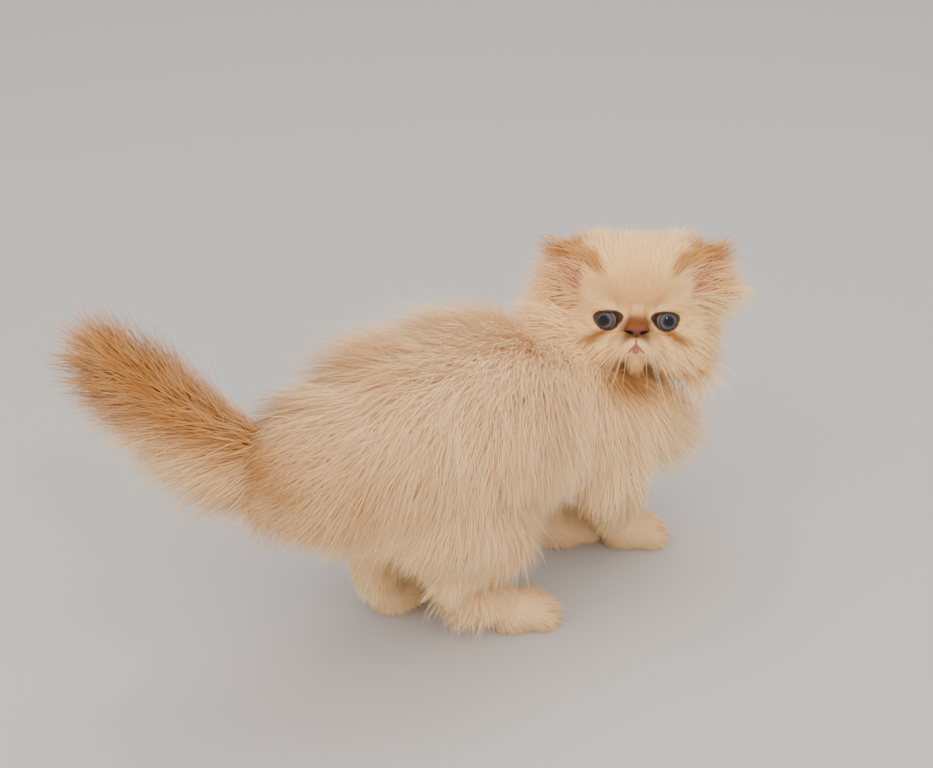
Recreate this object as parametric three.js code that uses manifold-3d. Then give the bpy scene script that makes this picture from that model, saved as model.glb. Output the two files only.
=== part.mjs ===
// A long-haired Persian kitten with cream-white fur and orange ears, mask and tail, life size.
// It stands on four feet, its head turned back over its right shoulder and its tail raised to the left.
// Millimetres, +Z up, the floor at z = 0. The kitten heads along +X and its left side is +Y.
// Each named solid reaches out to the tips of the coat, and neighbours are parted by a thin cut.
import * as THREE from "three";
import { mergeVertices } from "three/addons/utils/BufferGeometryUtils.js";
import Module from "manifold-3d";

const wasm = await Module();
wasm.setup();

const CUT = 0.45; // width of the thin cut between neighbours
const DEG = Math.PI / 180;

// Driving sizes of the body, coat included
const TRUNK_GIRTH = 69; // half of the height and width at the loin
const CHEST_GIRTH = 43;
const NECK_GIRTH = 35;
const TAIL_GIRTH = 29;
const PAW_LENGTH = 35;
const PAW_WIDTH = 27;
const PAW_HEIGHT = 19;
const EYE_RADIUS = 8.4;
const EYE_SPACING = 30.4; // between the two pupils

// Where the head is: the point between the eyes, and which way the face looks
const FACE_AT = new THREE.Vector3(94, -26, 141);
const FACE_YAW = -135 * DEG;
const FACE_PITCH = 17 * DEG;

const v = (x, y, z) => new THREE.Vector3(x, y, z);

// Colours of the coat, the skin and the eyes, with their roughness
const COAT = { color: "#e6d2b8", roughness: 0.9 };
const ORANGE = { color: "#d09a68", roughness: 0.9 };
const NOSE = { color: "#a8583a", roughness: 0.55 };
const EYE = { color: "#55565e", roughness: 0.1 };

// Solids for joining and cutting
function solid(geometry) {
  const bare = geometry.clone();
  bare.deleteAttribute("normal");
  bare.deleteAttribute("uv");
  const merged = mergeVertices(bare, 1e-3);
  return new wasm.Manifold(
    new wasm.Mesh({
      numProp: 3,
      vertProperties: merged.attributes.position.array,
      triVerts: new Uint32Array(merged.index.array),
    }),
  );
}

function geometryOf(manifold) {
  const mesh = manifold.getMesh();
  const points = new Float32Array(mesh.numVert * 3);
  for (let i = 0; i < mesh.numVert; i++) {
    const from = i * mesh.numProp;
    points.set(mesh.vertProperties.subarray(from, from + 3), i * 3);
  }
  const geometry = new THREE.BufferGeometry();
  geometry.setAttribute("position", new THREE.BufferAttribute(points, 3));
  geometry.setIndex(new THREE.BufferAttribute(mesh.triVerts, 1));
  return geometry;
}

// A rounded body along a smooth path. Its half-width and half-height follow the stations in girth,
// and its two ends are rounded over the shares of its length in ends.
class Limb {
  constructor({ path, girth, ends = [0.2, 0.2], up = v(0, 0, 1), around = 20, along = 12 }) {
    this.curve = new THREE.CatmullRomCurve3(path);
    this.girth = new THREE.SplineCurve(girth.map(([w, h]) => new THREE.Vector2(w, h)));
    Object.assign(this, { ends, up, around, along });
  }

  // The outside at t along the path and an angle around it, 0 at its side and a quarter turn at its top
  at(t, angle, grow = 0) {
    const centre = this.curve.getPoint(t);
    const tangent = this.curve.getTangent(t);
    const side = tangent.clone().cross(this.up).normalize();
    const top = side.clone().cross(tangent);
    const girth = this.girth.getPoint(t);
    const round = (share, from) => Math.sqrt(1 - (1 - Math.min(from / share, 1)) ** 2);
    const taper = round(this.ends[0], t) * round(this.ends[1], 1 - t);
    const outward = side.clone().multiplyScalar(Math.cos(angle));
    outward.addScaledVector(top, Math.sin(angle));
    const point = centre.clone();
    point.addScaledVector(side, (girth.x * taper + grow) * Math.cos(angle));
    point.addScaledVector(top, (girth.y * taper + grow) * Math.sin(angle));
    return { point, outward, tangent };
  }

  geometry(grow = 0) {
    const sphere = new THREE.SphereGeometry(1, this.around, this.along);
    const position = sphere.attributes.position;
    const columns = this.around + 1;
    for (let i = 0; i < position.count; i++) {
      const row = Math.floor(i / columns);
      const t = (1 - Math.cos((row / this.along) * Math.PI)) / 2;
      const angle = (((i % columns) % this.around) / this.around) * 2 * Math.PI;
      const pole = row === 0 || row === this.along;
      const { point, tangent } = this.at(t, pole ? 0 : angle, pole ? 0 : grow);
      if (pole) point.addScaledVector(tangent, row === 0 ? -grow : grow);
      position.setXYZ(i, point.x, point.y, point.z);
    }
    return sphere;
  }
}

// A pointed lock of hair: a cone with its root in the coat
function lock(root, lie, length, thickness) {
  const cone = new THREE.ConeGeometry(thickness, length, 4, 1);
  cone.translate(0, length / 2, 0);
  const turn = new THREE.Quaternion().setFromUnitVectors(v(0, 1, 0), lie.clone().normalize());
  cone.applyQuaternion(turn);
  cone.translate(root.x, root.y, root.z);
  return solid(cone);
}

// Joins rows of locks to a limb's solid. Each row has its place along the limb, a span of angles,
// and how its locks lean: out from the limb, along it and down.
function withLocks(limb, rows, grow = 0) {
  let body = solid(limb.geometry(grow));
  for (const row of rows) {
    for (let i = 0; i < row.count; i++) {
      const share = row.count > 1 ? i / (row.count - 1) : 0.5;
      const angle = (row.from + (row.to - row.from) * share) * DEG;
      const t = row.t + (row.slant ?? 0) * share;
      const { point, outward, tangent } = limb.at(t, angle);
      const lie = outward.clone().multiplyScalar(row.out);
      lie.addScaledVector(tangent, row.along);
      lie.z -= row.down ?? 0;
      const size = 1 + 0.18 * Math.sin(2.4 * i + 9 * row.t);
      const root = point.clone().addScaledVector(outward, -row.thick * 0.9);
      body = body.add(lock(root, lie, row.length * size + grow, row.thick + grow));
    }
  }
  return body;
}

// An ellipsoid in a frame of its own
function ellipsoid(centre, sizes, basis, grow = 0, around = 18, along = 12) {
  const sphere = new THREE.SphereGeometry(1, around, along);
  sphere.scale(sizes[0] + grow, sizes[1] + grow, sizes[2] + grow);
  sphere.applyMatrix4(basis);
  sphere.translate(centre.x, centre.y, centre.z);
  return solid(sphere);
}

// The head's own frame: forward out of the face, to the kitten's left, and up
const forward = v(
  Math.cos(FACE_PITCH) * Math.cos(FACE_YAW),
  Math.cos(FACE_PITCH) * Math.sin(FACE_YAW),
  Math.sin(FACE_PITCH),
);
const left = v(0, 0, 1).cross(forward).normalize();
const top = forward.clone().cross(left);
const headBasis = new THREE.Matrix4().makeBasis(forward, left, top);
const inHead = (f, l, u) => {
  const point = FACE_AT.clone().addScaledVector(forward, f);
  return point.addScaledVector(left, l).addScaledVector(top, u);
};
const headLump = (at, sizes, grow = 0, around = 18, along = 12) =>
  ellipsoid(inHead(...at), sizes, headBasis, grow, around, along);

// The trunk, from the rump to the chest
const trunk = new Limb({
  path: [v(-116, -6, 121), v(-62, -1, 112), v(-10, 1, 106), v(26, 6, 103), v(60, -4, 88), v(118, -22, 82)],
  girth: [
    [TRUNK_GIRTH - 17, TRUNK_GIRTH - 22],
    [TRUNK_GIRTH - 4, TRUNK_GIRTH - 10],
    [TRUNK_GIRTH + 1, TRUNK_GIRTH - 2],
    [TRUNK_GIRTH - 4, TRUNK_GIRTH - 5],
    [CHEST_GIRTH, CHEST_GIRTH - 2],
    [CHEST_GIRTH, CHEST_GIRTH - 3],
  ],
  ends: [0.25, 0.18],
  around: 18,
  along: 12,
});
const trunkRows = [
  { t: 0.13, from: 25, to: 155, count: 5, length: 22, thick: 10, out: 0.7, along: -0.9 },
  { t: 0.33, from: 20, to: 160, count: 5, length: 20, thick: 11, out: 0.6, along: -1 },
  { t: 0.6, from: 225, to: 315, count: 4, length: 22, thick: 8, out: 0.9, along: -0.5, down: 0.3 },
  { t: 0.86, from: 215, to: 325, count: 5, length: 24, thick: 8, out: 0.7, along: 0.6, down: 0.6 },
];

// The neck and its ruff, from the withers to the back of the head
const neck = new Limb({
  path: [v(42, 12, 102), v(70, 18, 104), v(98, 16, 110), v(118, 6, 118)],
  girth: [
    [NECK_GIRTH - 2, NECK_GIRTH - 2],
    [NECK_GIRTH, NECK_GIRTH],
    [NECK_GIRTH, NECK_GIRTH - 2],
    [NECK_GIRTH - 6, NECK_GIRTH - 6],
  ],
  ends: [0.25, 0.3],
  around: 12,
  along: 6,
});

// The tail in three lengths, raised to the kitten's left
const tail = new Limb({
  path: [
    v(-60, 0, 115),
    v(-90, 15, 115),
    v(-109, 24, 120),
    v(-126, 33, 135),
    v(-143, 42, 155),
    v(-158, 50, 174),
    v(-177, 60, 200),
  ],
  girth: [
    [TAIL_GIRTH, TAIL_GIRTH + 2],
    [TAIL_GIRTH + 1, TAIL_GIRTH + 4],
    [TAIL_GIRTH, TAIL_GIRTH + 3],
    [TAIL_GIRTH - 1, TAIL_GIRTH],
    [TAIL_GIRTH - 4, TAIL_GIRTH - 3],
    [TAIL_GIRTH - 11, TAIL_GIRTH - 11],
    [8, 8],
  ],
  ends: [0.1, 0.2],
  around: 12,
  along: 12,
});
const tailRows = [0.34, 0.5, 0.66].map((t) => ({
  t,
  from: 200,
  to: 340,
  count: 4,
  length: 24,
  thick: 8,
  out: 0.7,
  along: 0.8,
}));
tailRows.push({ t: 0.86, from: 30, to: 330, count: 5, length: 20, thick: 6, out: 0.3, along: 1 });

// Legs: each joint's place, in the order from the body to the foot, and the foot's heading
const LEGS = {
  front_right: { joints: [v(80, -24, 84), v(76, -27, 58), v(93, -18, 32)], foot: [110, -13], turn: -33 },
  front_left: { joints: [v(78, 26, 84), v(68, 27, 58), v(74, 18, 32)], foot: [86, 12], turn: -12 },
  hind_right: { joints: [v(-34, -28, 88), v(-4, -30, 62), v(-20, -17, 36)], foot: [13, -29], turn: -25 },
  hind_left: { joints: [v(-34, 28, 88), v(-14, 34, 60), v(-37, 25, 36)], foot: [-21, 26], turn: 14 },
};
const THIGH = [[28, 30], [27, 28], [20, 21], [14, 15]];
const FORELEG = [[24, 26], [21, 23], [16, 17], [13, 14]];

function legOf({ joints, foot, turn }, girth) {
  const heading = v(Math.cos(turn * DEG), Math.sin(turn * DEG), 0);
  const ankle = v(foot[0], foot[1], 13).addScaledVector(heading, -PAW_LENGTH * 0.3);
  return new Limb({ path: [...joints, ankle], girth, ends: [0.3, 0.12], up: heading, around: 12, along: 8 });
}

// A paw, flat where it stands, with four toes
function pawOf({ foot, turn }, grow = 0) {
  const basis = new THREE.Matrix4().makeRotationZ(turn * DEG);
  const place = (x, y, z) => v(x, y, z).applyMatrix4(basis).add(v(foot[0], foot[1], 0));
  const sizes = [PAW_LENGTH / 2, PAW_WIDTH / 2, PAW_HEIGHT * 0.62];
  let paw = ellipsoid(place(-1, 0, PAW_HEIGHT * 0.38), sizes, basis, grow, 10, 6);
  const instep = ellipsoid(place(-9, 0, PAW_HEIGHT * 0.66), [11, 11, 10], basis, grow, 8, 4);
  paw = paw.add(instep);
  for (const [side, reach] of [[-1.5, 7.5], [-0.5, 10.5], [0.5, 10.5], [1.5, 7.5]]) {
    const toe = ellipsoid(place(reach, side * PAW_WIDTH * 0.235, 6.2), [8, 4.4, 6.8], basis, grow, 6, 4);
    paw = paw.add(toe);
  }
  return paw;
}

// Parts of the head, in the head's frame: forward, left, up
const SKULL = [
  { at: [-27, 0, 6], sizes: [34, 50, 35] },
  { at: [-20, 0, 14], sizes: [27, 38, 31] },
];
const CHEEKS = [-1, 1].map((side) => ({ at: [-19, side * 28, -13], sizes: [20, 26, 26] }));

function headOf(grow = 0) {
  let head = headLump(SKULL[0].at, SKULL[0].sizes, grow, 14, 9);
  head = head.add(headLump(SKULL[1].at, SKULL[1].sizes, grow, 12, 7));
  for (const cheek of CHEEKS) head = head.add(headLump(cheek.at, cheek.sizes, grow, 10, 7));
  head = head.add(headLump([-5, 0, 4], [10, 19, 11], grow, 10, 6));
  for (const side of [-1, 1]) {
    for (let i = 0; i < 4; i++) {
      const angle = (12 - 24 * i) * DEG;
      const root = inHead(-20 - 1.5 * i, side * (18 + 27 * Math.cos(angle)), -10 + 28 * Math.sin(angle));
      const lie = left.clone().multiplyScalar(side * Math.cos(angle));
      lie.addScaledVector(top, Math.sin(angle) - 0.35).addScaledVector(forward, -0.2);
      head = head.add(lock(root, lie, 20 + grow, 8 + grow));
    }
  }
  for (let i = 0; i < 3; i++) {
    const across = (i - 1) * 18;
    const root = inHead(-24, across, 34 - 0.006 * across * across);
    const lie = top.clone().addScaledVector(forward, -0.5).addScaledVector(left, across * 0.02);
    head = head.add(lock(root, lie, 13 + grow, 6 + grow));
  }
  return head;
}

// The muzzle: two whisker pads and the chin, with the mouth as the groove between them
function muzzleOf(grow = 0) {
  let muzzle = headLump([-1, 0, -12], [9, 15, 8], grow, 10, 7);
  for (const side of [-1, 1]) {
    muzzle = muzzle.add(headLump([2.5, side * 7.5, -13.5], [8.5, 9.5, 7.5], grow, 10, 7));
  }
  return muzzle.add(headLump([-1.5, 0, -21.5], [7.5, 8.5, 5.5], grow, 10, 7));
}

// The nose leather, a small heart-shaped wedge with two nostrils
function noseOf(grow = 0) {
  let nose = headLump([7.2, 0, -2.6], [3.2, 5.2, 3.2], grow, 10, 7);
  nose = nose.add(headLump([7.0, 0, -5.2], [2.8, 2.8, 2.6], grow, 6, 5));
  if (grow > 0) return nose;
  for (const side of [-1, 1]) {
    nose = nose.subtract(headLump([10, side * 3.4, -4.4], [2.2, 1.5, 0.9], 0, 6, 5));
  }
  return nose;
}

// An eyeball, and the funnel-shaped opening in the coat in front of it
const eyeAt = (side) => inHead(-6.4, side * (EYE_SPACING / 2 - 0.6), 0);
const eyeOf = (side, grow = 0) =>
  ellipsoid(eyeAt(side), [EYE_RADIUS, EYE_RADIUS, EYE_RADIUS], headBasis, grow, 12, 8);
function eyeOpening(side) {
  const gaze = forward.clone().addScaledVector(left, side * 0.22).normalize();
  const funnel = new THREE.CylinderGeometry(11.5, 5.8, 14, 12, 1);
  funnel.scale(1, 1, 0.72);
  funnel.translate(0, 7, 0);
  const turn = new THREE.Matrix4().makeBasis(left, gaze, top.clone().multiplyScalar(-1));
  funnel.applyMatrix4(turn);
  const from = eyeAt(side).addScaledVector(gaze, 4.2);
  funnel.translate(from.x, from.y, from.z);
  return solid(funnel);
}

// A small, wide-set ear that leans out: a flattened cone, hollowed at the front, with long hairs at its mouth
function earOf(side, grow = 0) {
  const rise = top.clone().multiplyScalar(0.86).addScaledVector(left, side * 0.5);
  rise.addScaledVector(forward, 0.15).normalize();
  const face = forward.clone().addScaledVector(left, side * 0.45).addScaledVector(top, -0.1);
  face.addScaledVector(rise, -face.dot(rise)).normalize();
  const across = rise.clone().cross(face);
  const basis = new THREE.Matrix4().makeBasis(face, across, rise);
  const base = inHead(-17, side * 32, 22);
  let ear = ellipsoid(base, [7.5, 16, 22], basis, grow, 9, 7);
  if (grow === 0) {
    const hollow = base.clone().addScaledVector(face, 8).addScaledVector(rise, 5);
    ear = ear.subtract(ellipsoid(hollow, [7, 10, 13], basis, 0, 8, 6));
  }
  for (let i = 0; i < 2; i++) {
    const root = base.clone().addScaledVector(rise, 3 + 6 * i).addScaledVector(across, side * -2);
    const lie = left.clone().multiplyScalar(side).addScaledVector(top, 0.25 - 0.22 * i);
    lie.addScaledVector(forward, -0.2);
    ear = ear.add(lock(root, lie, 27 - 2 * i + grow, 4 + grow));
  }
  return ear;
}

// Half-space above the floor, and the cut that parts the tail into lengths
const floor = (() => {
  const block = new THREE.BoxGeometry(700, 700, 400);
  block.translate(0, 0, 200);
  return solid(block);
})();
function slice(limb, from, to) {
  const cut = (t, facing) => {
    const slab = new THREE.BoxGeometry(200, 200, 200);
    slab.translate(0, 0, facing * (100 - CUT / 2));
    const turn = new THREE.Quaternion().setFromUnitVectors(v(0, 0, 1), limb.curve.getTangent(t));
    slab.applyQuaternion(turn);
    const at = limb.curve.getPoint(t);
    slab.translate(at.x, at.y, at.z);
    return solid(slab);
  };
  return (body) => {
    let kept = body;
    if (from > 0) kept = kept.subtract(cut(from, -1));
    if (to < 1) kept = kept.subtract(cut(to, 1));
    return kept;
  };
}

// Every part as a solid and, with room for the thin cut, as the cutter of its neighbours
const makers = {
  trunk: (grow) => withLocks(trunk, trunkRows, grow),
  neck: (grow) => solid(neck.geometry(grow)),
  head: headOf,
  muzzle: muzzleOf,
  nose: noseOf,
  eye_left: (grow) => eyeOf(1, grow),
  eye_right: (grow) => eyeOf(-1, grow),
  ear_left: (grow) => earOf(1, grow),
  ear_right: (grow) => earOf(-1, grow),
  tail: (grow) => withLocks(tail, tailRows, grow),
};
for (const [name, leg] of Object.entries(LEGS)) {
  const girth = name.startsWith("hind") ? THIGH : FORELEG;
  makers["paw_" + name] = (grow) => pawOf(leg, grow).intersect(floor);
  makers["leg_" + name] = (grow) => solid(legOf(leg, girth).geometry(grow)).intersect(floor);
}

// The order says who gives way: each part is cut by all that come before it
const ORDER = [
  "eye_left", "eye_right", "nose", "muzzle", "ear_left", "ear_right", "head", "tail", "neck",
  "paw_front_left", "paw_front_right", "paw_hind_left", "paw_hind_right", "trunk",
  "leg_front_left", "leg_front_right", "leg_hind_left", "leg_hind_right",
];
const solids = {};
ORDER.forEach((name, i) => {
  let body = makers[name](0);
  for (const other of ORDER.slice(0, i)) body = body.subtract(makers[other](CUT));
  if (name === "head") body = body.subtract(eyeOpening(1)).subtract(eyeOpening(-1));
  const pieces = body.decompose().sort((a, b) => b.volume() - a.volume());
  solids[name] = pieces[0];
});
const TAIL_CUTS = [0, 0.42, 0.7, 1];
["tail_base", "tail_middle", "tail_tip"].forEach((name, i) => {
  const length = slice(tail, TAIL_CUTS[i], TAIL_CUTS[i + 1])(solids.tail);
  solids[name] = length.decompose().sort((a, b) => b.volume() - a.volume())[0];
});
delete solids.tail;

// The scene graph, with the middle of the whole kitten's footprint at the origin
const looks = (name) => {
  if (name.startsWith("eye")) return EYE;
  if (name === "nose") return NOSE;
  if (name.startsWith("ear") || name === "tail_middle" || name === "tail_tip") return ORANGE;
  return COAT;
};
const kitten = new THREE.Group();
for (const [name, body] of Object.entries(solids)) {
  const material = new THREE.MeshStandardMaterial({ metalness: 0, ...looks(name) });
  const mesh = new THREE.Mesh(geometryOf(body), material);
  mesh.name = name;
  kitten.add(mesh);
}
const box = new THREE.Box3().setFromObject(kitten);
kitten.position.set(-(box.min.x + box.max.x) / 2, -(box.min.y + box.max.y) / 2, 0);

export default kitten;
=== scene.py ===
"""A long-haired Persian kitten: skin, eyes, nose, coat, whiskers and a studio stage."""

import math

import bpy
import numpy as np
from mathutils import Matrix, Vector
from mathutils.bvhtree import BVHTree
from mathutils.kdtree import KDTree


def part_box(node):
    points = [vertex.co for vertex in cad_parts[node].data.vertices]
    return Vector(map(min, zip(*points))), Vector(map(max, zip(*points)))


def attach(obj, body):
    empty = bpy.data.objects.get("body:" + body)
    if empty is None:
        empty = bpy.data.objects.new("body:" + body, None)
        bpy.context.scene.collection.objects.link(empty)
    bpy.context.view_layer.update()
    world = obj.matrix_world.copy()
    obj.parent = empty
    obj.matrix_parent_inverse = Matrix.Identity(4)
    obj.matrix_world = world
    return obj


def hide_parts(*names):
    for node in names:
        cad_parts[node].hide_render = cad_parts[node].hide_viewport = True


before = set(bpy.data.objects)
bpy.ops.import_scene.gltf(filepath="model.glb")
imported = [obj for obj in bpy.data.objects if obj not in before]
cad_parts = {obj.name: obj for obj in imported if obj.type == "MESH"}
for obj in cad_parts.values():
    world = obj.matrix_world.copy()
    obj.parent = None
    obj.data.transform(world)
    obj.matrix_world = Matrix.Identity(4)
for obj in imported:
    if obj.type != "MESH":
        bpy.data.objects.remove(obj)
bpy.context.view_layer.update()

bl_info = {
    "name": "Persian Kitten",
    "version": (1, 0, 0),
    "blender": (4, 5, 0),
    "location": "View3D > Sidebar > Kitten",
    "description": "Builds a standing long-haired Persian kitten with a coat of modelled tufts",
    "category": "Add Mesh",
}

MM = 0.001

# The place between the eyes in the body's own millimetres: heading +X, left +Y, floor at 0
FACE_AT = np.array([94.0, -26.0, 141.0])
FACE_PITCH = math.radians(17)
EYE_DEPTH = 6.4  # millimetres from the place between the eyes back to the eyes' centres
LOOK_YAW, LOOK_PITCH = math.radians(-132), math.radians(28)  # where the kitten looks


def middle(node):
    """The middle of a node's box."""
    low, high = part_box(node)
    return (np.array(low) + np.array(high)) / 2


def unit(v):
    v = np.asarray(v, float)
    return v / np.maximum(np.linalg.norm(v, axis=-1, keepdims=True), 1e-12)


EYES = {1: middle("eye_left"), -1: middle("eye_right")}
LEFT = unit(EYES[1] - EYES[-1])
AHEAD = np.cross(LEFT, (0, 0, 1))
FORWARD = AHEAD * math.cos(FACE_PITCH) + np.array((0, 0, 1)) * math.sin(FACE_PITCH)
TOP = np.cross(FORWARD, LEFT)
FACE = (EYES[1] + EYES[-1]) / 2 + FORWARD * EYE_DEPTH * MM
SHIFT = FACE - FACE_AT * MM
HEAD_AXES = np.stack([FORWARD, LEFT, TOP])
LOOK = np.array((math.cos(LOOK_YAW), math.sin(LOOK_YAW), math.tan(LOOK_PITCH))) * math.cos(LOOK_PITCH)
LOOK_LEFT = unit(np.cross((0, 0, 1), LOOK))
EYE_AXES = np.stack([LOOK, LOOK_LEFT, np.cross(LOOK, LOOK_LEFT)])


def place(x, y, z):
    """From the body's millimetres to the frame's metres."""
    return np.array((x, y, z), float) * MM + SHIFT


def on_head(f, l, u):
    """From millimetres forward of the face, to its left and up, to the frame's metres."""
    return FACE + (np.array((f, l, u), float) * MM) @ HEAD_AXES


def head_place(points):
    """From the frame's metres to millimetres forward, left and up of the face."""
    return (points - FACE) @ HEAD_AXES.T / MM


def smooth(low, high, x):
    """0 at low, 1 at high and an even curve between."""
    t = np.clip((x - low) / (high - low), 0, 1)
    return t * t * (3 - 2 * t)


class KittenSettings(bpy.types.PropertyGroup):
    coat_length: bpy.props.FloatProperty(
        name="Coat length", description="Length of the long tufts of the body", default=0.040, unit="LENGTH"
    )
    coat_lift: bpy.props.FloatProperty(
        name="Coat lift",
        description="How far the body's tufts stand off the skin",
        default=math.radians(30),
        subtype="ANGLE",
    )
    tuft_width: bpy.props.FloatProperty(
        name="Tuft width", description="Width of a tuft on the body", default=0.00040, unit="LENGTH"
    )
    body_tufts: bpy.props.IntProperty(
        name="Body tufts", description="Long tufts on trunk and neck", default=27000
    )
    under_tufts: bpy.props.IntProperty(
        name="Under tufts", description="Fine tufts beneath them", default=55000
    )
    leg_tufts: bpy.props.IntProperty(
        name="Leg tufts", description="Short tufts on legs and paws", default=31000
    )
    wisp_tufts: bpy.props.IntProperty(
        name="Wisps", description="Long tufts of the pointed locks", default=5000
    )
    tail_tufts: bpy.props.IntProperty(name="Tail tufts", description="Tufts on the tail", default=13500)
    head_tufts: bpy.props.IntProperty(
        name="Head tufts", description="Long tufts on head and ears", default=18500
    )
    face_tufts: bpy.props.IntProperty(
        name="Face tufts", description="Short tufts on the face", default=38000
    )
    skin_detail: bpy.props.FloatProperty(
        name="Skin detail", description="Size of the faces of the skin", default=0.0013, unit="LENGTH"
    )
    cream: bpy.props.FloatVectorProperty(
        name="Cream", description="Main colour of the coat", default=(0.97, 0.69, 0.37), subtype="COLOR"
    )
    # The orange also draws the painted shade under the chin, in the forehead's creases and between the toes
    orange: bpy.props.FloatVectorProperty(
        name="Orange", description="Colour of ears and tail", default=(0.50, 0.20, 0.034), subtype="COLOR"
    )
    # The mask's brown also darkens the painted shadow under the chin
    mask: bpy.props.FloatVectorProperty(
        name="Mask",
        description="Darkest colour, on the bridge of the nose",
        default=(0.19, 0.052, 0.011),
        subtype="COLOR",
    )
    iris: bpy.props.FloatVectorProperty(
        name="Iris", description="Colour of the eyes", default=(0.082, 0.070, 0.082), subtype="COLOR"
    )


# Where the flesh is, in the body's millimetres: each limb is a row of (x, y, z, radius)
TRUNK = (
    (-72, -1, 116, 31),
    (-52, 0, 113, 39),
    (-14, 4, 104, 45),
    (22, 7, 102, 43),
    (54, 3, 97, 36),
    (82, -7, 92, 29),
    (95, -12, 89, 24),
)
NECK = ((60, 6, 100, 30), (84, 8, 108, 29), (104, 2, 118, 27), (112, -4, 127, 25))
TAIL = (
    (-62, 0, 117, 12),
    (-90, 14, 117, 9),
    (-109, 24, 122, 8),
    (-126, 33, 136, 7),
    (-141, 41, 153, 6),
    (-150, 45, 164, 5),
    (-159, 49, 176, 3.5),
)
LEGS = {
    "front_right": {"path": ((82, -20, 86, 16), (77, -25, 58, 12), (93, -18, 32, 9), (99, -7, 15, 8.5)),
                    "foot": (110, -13), "turn": -33},
    "front_left": {"path": ((80, 20, 86, 16), (69, 25, 58, 12), (74, 18, 32, 9), (76, 14, 15, 8.5)),
                   "foot": (86, 12), "turn": -12},
    "hind_right": {"path": ((-34, -22, 88, 22), (-5, -27, 62, 16), (-20, -17, 37, 9), (3, -25, 15, 8.5)),
                   "foot": (13, -29), "turn": -25},
    "hind_left": {"path": ((-34, 22, 88, 22), (-15, 31, 60, 16), (-37, 25, 37, 9), (-31, 24, 15, 8.5)),
                  "foot": (-21, 26), "turn": 14},
}
PAW = (35, 27, 19)  # length, width and height with its fur
PAW_FUR = 1.8
TOE_STEP = 0.235  # the way from toe to toe, as a share of the paw's width
# Lumps of the skull: forward, left and up of the face, and their half-sizes; a lump to the left is paired
SKULL = (
    ((-28, 0, 6), (30, 33, 29)),
    ((-18, 0, 16), (22, 28, 20)),
    ((-23, 17, 19), (17, 17, 17)),
    ((-12, 12.5, 8.5), (12.5, 13, 9)),
    ((-15, 15, -9), (17, 17, 14)),
    ((-2, 0, -1), (8, 7, 8)),
    ((-2, 0, -11), (9, 11, 8)),
    ((1.4, 5.2, -12.2), (6.8, 6.8, 6.2)),
    ((-4, 11, -14.5), (8, 8, 6.5)),
    ((-1.0, 0, -18), (5.6, 4.6, 4.4)),
)
EAR = {"base": (-18, 27, 17.5), "size": (5.5, 14, 19.5), "hollow": (7, 10, 15)}
EYE_RADIUS = 8.4
EAR_PINK = np.array((0.62, 0.30, 0.18))
SKIN_PINK = np.array((0.50, 0.20, 0.14))
RIM_DARK = np.array((0.06, 0.025, 0.015))
SKIN_UNDER = np.array((1.0, 0.96, 0.93))  # the skin's colour as a share of the coat's over it
HEAD_TINT = np.array((0.05, -0.02, -0.19))  # how much warmer the head is than the body: red, green, blue
# The edge of the lids seen from the front: outwards and up of the eye's middle
LID_LINE = (
    (5.4, -1.2), (5.5, 0.7), (4.5, 2.3), (1.8, 3.1), (-1.8, 3.2), (-4.6, 2.8), (-6.3, 1.9),
    (-6.9, 0.9), (-6.3, -0.6), (-4.5, -3.2), (-1.7, -5.1), (1.6, -5.2), (4.2, -3.6),
)
GAZE = {1: (7, -7), -1: (14, -8)}  # degrees outwards and up of the way the face looks


def closed_curve(points, steps=6):
    """A smooth closed curve through the points."""
    p = np.array(points, float)
    a, c, d = np.roll(p, 1, 0), np.roll(p, -1, 0), np.roll(p, -2, 0)
    rows = []
    square, cube = 2 * a - 5 * p + 4 * c - d, 3 * p - a - 3 * c + d
    for t in np.arange(steps) / steps:
        rows.append(0.5 * (2 * p + (c - a) * t + square * t**2 + cube * t**3))
    return np.stack(rows, axis=1).reshape(-1, p.shape[1])


LID_EDGE = closed_curve(LID_LINE)


def ear_axes(side):
    """The way an ear faces, its width and its rise, as rows."""
    rise = unit(0.86 * TOP + 0.46 * side * LEFT + 0.05 * FORWARD)
    face = FORWARD + 0.45 * side * LEFT - 0.1 * TOP
    face = unit(face - rise * (face @ rise))
    return np.stack([face, np.cross(rise, face), rise])


def ear_base(side):
    f, l, u = EAR["base"]
    return on_head(f, side * l, u)


def ear_place(points, side):
    """Millimetres before an ear's middle, outwards of it and up its rise."""
    local = (points - ear_base(side)) @ ear_axes(side).T / MM
    return local[:, 0], local[:, 1] * side, local[:, 2]


def mixed(colour, other, share):
    """The colour drawn towards the other one by the share at each point."""
    return colour + (other - colour) * share[:, None]


# Helpers for the pieces

def clear_choice():
    bpy.ops.object.select_all(action="DESELECT")


def choose(*objects):
    clear_choice()
    for ob in objects:
        ob.select_set(True)
    bpy.context.view_layer.objects.active = objects[0]


def lump(at, size, axes=None, segments=20):
    """A rounded lump with its half-sizes along the axes given."""
    clear_choice()
    bpy.ops.mesh.primitive_uv_sphere_add(segments=segments, ring_count=segments // 2 + 1, radius=1)
    ob = bpy.context.object
    turn = np.eye(3) if axes is None else axes
    matrix = np.eye(4)
    matrix[:3, :3] = turn.T * (np.asarray(size, float) * MM)
    matrix[:3, 3] = at
    ob.matrix_world = Matrix(matrix.tolist())
    bpy.ops.object.transform_apply(location=True, rotation=True, scale=True)
    return ob


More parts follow.
